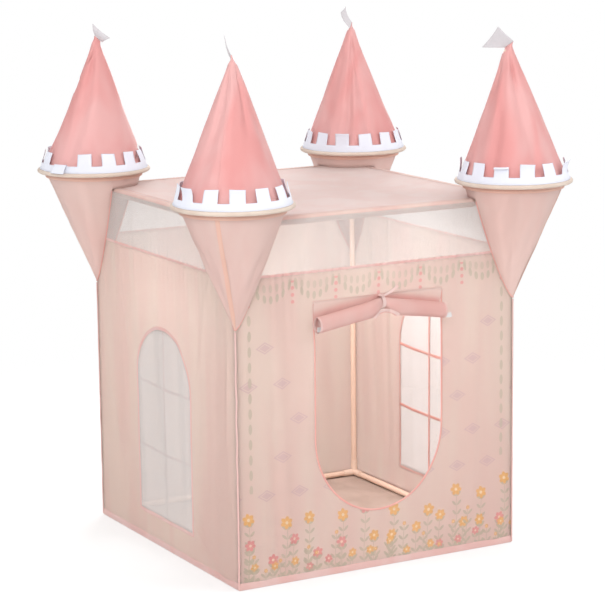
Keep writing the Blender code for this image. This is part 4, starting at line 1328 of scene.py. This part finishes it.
def roll_point(across, turns):
    """A point of the rolled cloth: turns counts from where it first meets the back of the roll."""
    shrink = roll_radius(across) / ROLL_RADIUS
    angle = -math.tau * turns
    radius = (ROLL_RADIUS - ROLL_PITCH * turns) * shrink
    gathered = hump(across * 0.75, ROLL_PINCH_WIDTH) * ease(abs(across) / 0.012)
    radius += 0.0016 * gathered * shrink * math.sin(angle * 5 + 9 * rough(across * 4, turns * 0.7, 3.0))
    radius += 0.0011 * rough(across * 9.0, math.cos(angle) * 1.2, math.sin(angle) * 1.2) * shrink
    deep = radius * math.cos(angle) * (1 + 0.05 * math.cos(angle))
    return roll_centre(across) + Vector((0, deep, radius * math.sin(angle)))


def roll_length(turns):
    """The roll's length: the inner turns are shorter, so that its ends are open."""
    return ROLL_LENGTH - 0.036 * ease((turns - 1.1) / 1.2)


def make_door_roll():
    winding = [step / ROLL_STEPS for step in range(ROLL_TURNS * ROLL_STEPS + 1)]
    at_wall = -HALF - 0.0010
    rows = []
    for column in shares(ROLL_COLUMNS):
        along = column - 0.5
        across = ROLL_SHIFT + ROLL_LENGTH * along
        edge = FLAP_WIDTH * along
        back = roll_point(across, 0)
        row = [Vector((edge, at_wall, FLAP_SEAM_HEIGHT))]
        for share in (0.25, 0.5, 0.75):
            wave = math.sin(across * 210 + 3 * math.sin(across * 37)) * math.sin(math.pi * share)
            y = at_wall + (back.y - at_wall) * ease(share) - abs(0.0005 * wave)
            z = FLAP_SEAM_HEIGHT + (back.z - FLAP_SEAM_HEIGHT) * share
            row.append(Vector((edge + (across - edge) * share, y, z)))
        row += [roll_point(ROLL_SHIFT + roll_length(turns) * along, turns) for turns in winding]
        rows.append(row)
    roll = piece("door_roll_cloth", rows_mesh(rows), "flap_cloth", "flap_cloth", "door_roll",
                 thickness=FLAP_CLOTH, sharp=75)
    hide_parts("door_flap_roll")
    # bindings along the roll's two ends, which wind with it
    for end, label in ((-1, "left"), (1, "right")):
        path = [roll_point(ROLL_SHIFT + end * (roll_length(turns) / 2 - 0.002), turns)
                for turns in winding]
        centre = roll_centre(ROLL_SHIFT + end * ROLL_LENGTH / 2)
        trim("door_roll_binding_" + label, path, [(p - centre).normalized() for p in path])
    # the flap's bound hem comes out under the tie as an arch: a pale band, then its piping
    middle = roll_centre(0.0)
    for index, (half, crown, drop) in enumerate(HEM_ARCHES):
        name = f"door_flap_hem_{index}"
        path = []
        for share in shares(32):
            along = 2 * share - 1
            centre, radius = roll_centre(half * along), roll_radius(half * along) + 0.0014
            height = middle.z - roll_radius(0.0) - crown - drop * along * along
            level = max(-0.97, (height + 0.6 * TRIMS[name][0] - centre.z) / radius)
            front = min(middle.y - 0.0195, centre.y - radius * math.sqrt(1 - level * level))
            path.append(Vector((half * along, front - 0.0006 * index, height)))
        trim(name, path, Vector((0, -1, -0.25)))
    path = [Vector((FLAP_WIDTH * (share - 0.5), -HALF - 0.0012, FLAP_SEAM_HEIGHT - 0.001))
            for share in shares(60)]
    trim("door_flap_seam", path, DOWN_Y)


def make_door_tie():
    """A ribbon round the gathered middle, knotted on top with one short tail."""
    centre = roll_centre(0.0)
    radius = roll_radius(0.0) + 0.0022
    path = [Vector((0.0, -HALF - 0.0017, FLAP_SEAM_HEIGHT - 0.002))]
    for share in shares(40):
        angle = math.radians(78 - 350 * share)
        lean = 0.002 * math.sin(angle)
        path.append(centre + Vector((lean, radius * math.cos(angle), radius * math.sin(angle))))
    up = [DOWN_Y] + [(p - centre).normalized() for p in path[1:]]
    strap = sweep_mesh(path, up, TIE_SIZE[0] / 2, TIE_THICKNESS / 2, sides=10)
    knot_at = centre + Vector((0.001, -0.004, radius + 0.002))
    loops = []
    for lean, size in ((25, 0.0065), (-35, 0.0060), (80, 0.0055)):
        lean = math.radians(lean)
        tilt = Matrix.Rotation(lean, 3, "Y") @ Matrix.Rotation(lean, 3, "X")
        ring = [knot_at + tilt @ Vector((size * math.cos(a), size * 0.55 * math.sin(a), 0.0))
                for a in circle(20)]
        loops.append(sweep_mesh(ring, tilt @ Vector((0, 0, 1)), 0.0030, 0.0012, closed=True))
    tail = [knot_at + Vector((0.004 + 0.056 * s, 0.006 * s * s, 0.002 + 0.012 * s + 0.012 * s * s))
            for s in shares(12)]
    lifts = [Vector((0.1 * math.sin(6 * s), -0.9, 0.5)).normalized() for s in shares(12)]
    loops.append(sweep_mesh(tail, lifts, lambda s: 0.0032 + 0.0014 * s, 0.0005))
    tie = piece("door_tie_ribbon", strap, "tie_ribbon", "tie_ribbon", "door_roll")
    knot = piece("door_tie_knot", joined(*loops), "tie_ribbon", "tie_ribbon", "door_roll")
    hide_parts("door_tie")
    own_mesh(knot)


def make_door_tabs():
    """The hook-and-loop tabs on the flap's lower corners, which peep out of the roll's ends."""
    for end, label, out, low, front in ((-1, "left", -0.004, -0.4, 0.3),
                                        (1, "right", 0.012, -0.55, 0.55)):
        centre = roll_centre(ROLL_SHIFT + end * ROLL_LENGTH / 2)
        spot = centre + Vector((end * out, -front * ROLL_RADIUS, low * ROLL_RADIUS))
        path = [spot + Vector((end * 0.020 * (i / 8 - 0.5), 0.0, -0.0016 * math.sin(i / 3)))
                for i in range(9)]
        trim("door_tab_" + label, path, Vector((0, -1, 0.25)))


def dress_frame():
    """The frame's own tubes and joints keep their solids."""
    finishes = {"joint_plastic": ("base_joint", "roof_joint"),
                "tube_plastic": ("base_tube", "roof_tube", "lower_post", "upper_post", "tower_pole")}
    for name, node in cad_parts.items():
        for finish, starts in finishes.items():
            if name.startswith(starts):
                for place in node.material_slots:
                    place.material = MATERIALS[finish]


# Floor, light and camera

CAMERA_SPOT = (-3.617, -6.516, 2.186)
CAMERA_YAW = 60.9
CAMERA_PITCH = 10.79
CAMERA_ROLL = -0.66
CAMERA_FOCUS = 2313.0
SENSOR_WIDTH = 36.0
FRAME_PIXELS = 605.0
FLOOR_REACH = 3.0
FLOOR_FADE = (2.0, 0.9)
FLOOR_GLOW = 0.45
FLOOR_GREY = (0.92, 0.92, 0.92, 1.0)
WHITE = (1.0, 1.0, 1.0, 1.0)
WORLD_LIGHT = 1.0
# Each lamp: name, place, target, size, power
LAMPS = (
    ("key_light", (-3.0, -3.8, 3.4), (0, 0, 0.75), 2.4, 100.0),
    ("fill_light", (2.7, -2.9, 3.3), (0, 0, 0.75), 2.4, 50.0),
    ("back_light", (2.4, 3.6, 2.4), (0, 0, 0.6), 2.4, 85.0),
    ("room_light", (0.0, 0.0, 1.06), (0, 0, 0.0), 0.7, 9.0),
)


def linked(name, data):
    obj = bpy.data.objects.new(name, data)
    bpy.context.scene.collection.objects.link(obj)
    return obj


def make_floor():
    """A pale floor that fades into the white background and keeps the tent's shadow."""
    bm = bmesh.new()
    corners = ((-1, -1), (1, -1), (1, 1), (-1, 1))
    bm.faces.new([bm.verts.new((x * FLOOR_REACH, y * FLOOR_REACH, -0.0006)) for x, y in corners])
    mesh = bpy.data.meshes.new("studio_floor")
    bm.to_mesh(mesh)
    bm.free()
    g = Graph(bpy.data.materials.new("studio_floor"))
    g.fill(g.shader, Base_Color=FLOOR_GREY, Roughness=0.9, Specular_IOR_Level=0.1)
    seen = g.calc("MULTIPLY", g.node("ShaderNodeLightPath").outputs["Is Camera Ray"], FLOOR_GLOW)
    lit = g.mix_shaders(seen, g.shader, g.node("ShaderNodeEmission", Strength=1.0))
    distance = g.node("ShaderNodeVectorMath", {"operation": "LENGTH"})
    g.put(distance.inputs[0], g.place())
    near = g.smaller(distance.outputs["Value"], *FLOOR_FADE)
    faded = g.mix_shaders(near, g.node("ShaderNodeBsdfTransparent"), lit)
    g.fill(g.output, Surface=faded.outputs[0])
    mesh.materials.append(g.owner)
    linked("studio_floor", mesh)


def make_world():
    """Even light from all round, and plain white where the camera or a reflection sees past."""
    world = bpy.data.worlds.new("studio")
    bpy.context.scene.world = world
    g = Graph(world)
    g.fill(g.shader, Color=WHITE, Strength=WORLD_LIGHT)
    rays = g.node("ShaderNodeLightPath").outputs
    seen = g.calc("MAXIMUM", rays["Is Camera Ray"], rays["Is Glossy Ray"])
    seen = seen.calc("MAXIMUM", rays["Is Transmission Ray"])
    mixed = g.mix_shaders(seen, g.shader, g.node("ShaderNodeBackground", Color=WHITE, Strength=1.0))
    g.fill(g.output, Surface=mixed.outputs[0])


def make_lamps():
    for name, spot, target, size, power in LAMPS:
        lamp = bpy.data.lights.new(name, "AREA")
        lamp.shape = "DISK"
        lamp.size = size
        lamp.energy = power
        obj = linked(name, lamp)
        obj.location = spot
        obj.visible_camera = False
        aim = Vector(target) - Vector(spot)
        obj.rotation_euler = aim.to_track_quat("-Z", "Y").to_euler()


def make_camera():
    """The photograph's own viewpoint and lens."""
    yaw, pitch, roll = (math.radians(a) for a in (CAMERA_YAW, CAMERA_PITCH, CAMERA_ROLL))
    forward = Vector((math.cos(yaw) * math.cos(pitch), math.sin(yaw) * math.cos(pitch), -math.sin(pitch)))
    right = Vector((math.sin(yaw), -math.cos(yaw), 0.0))
    up = right.cross(forward)
    rolled_right = right * math.cos(roll) + up * math.sin(roll)
    rolled_up = up * math.cos(roll) - right * math.sin(roll)
    data = bpy.data.cameras.new("camera")
    data.sensor_width = SENSOR_WIDTH
    data.lens = CAMERA_FOCUS / FRAME_PIXELS * SENSOR_WIDTH
    camera = linked("camera", data)
    axes = Matrix((rolled_right, rolled_up, -forward)).transposed()
    camera.matrix_world = Matrix.Translation(CAMERA_SPOT) @ axes.to_4x4()
    bpy.context.scene.camera = camera


bpy.context.scene.view_settings.view_transform = "Standard"
make_camera()
make_world()
make_lamps()
make_floor()
dress_frame()
make_walls()
make_windows()
make_doorway()
make_corner_seams()
make_funnels()
make_hoops()
make_cones()
make_bands()
make_flags()
make_roof()
make_ground_sheet()
make_door_roll()
make_door_tie()
make_door_tabs()
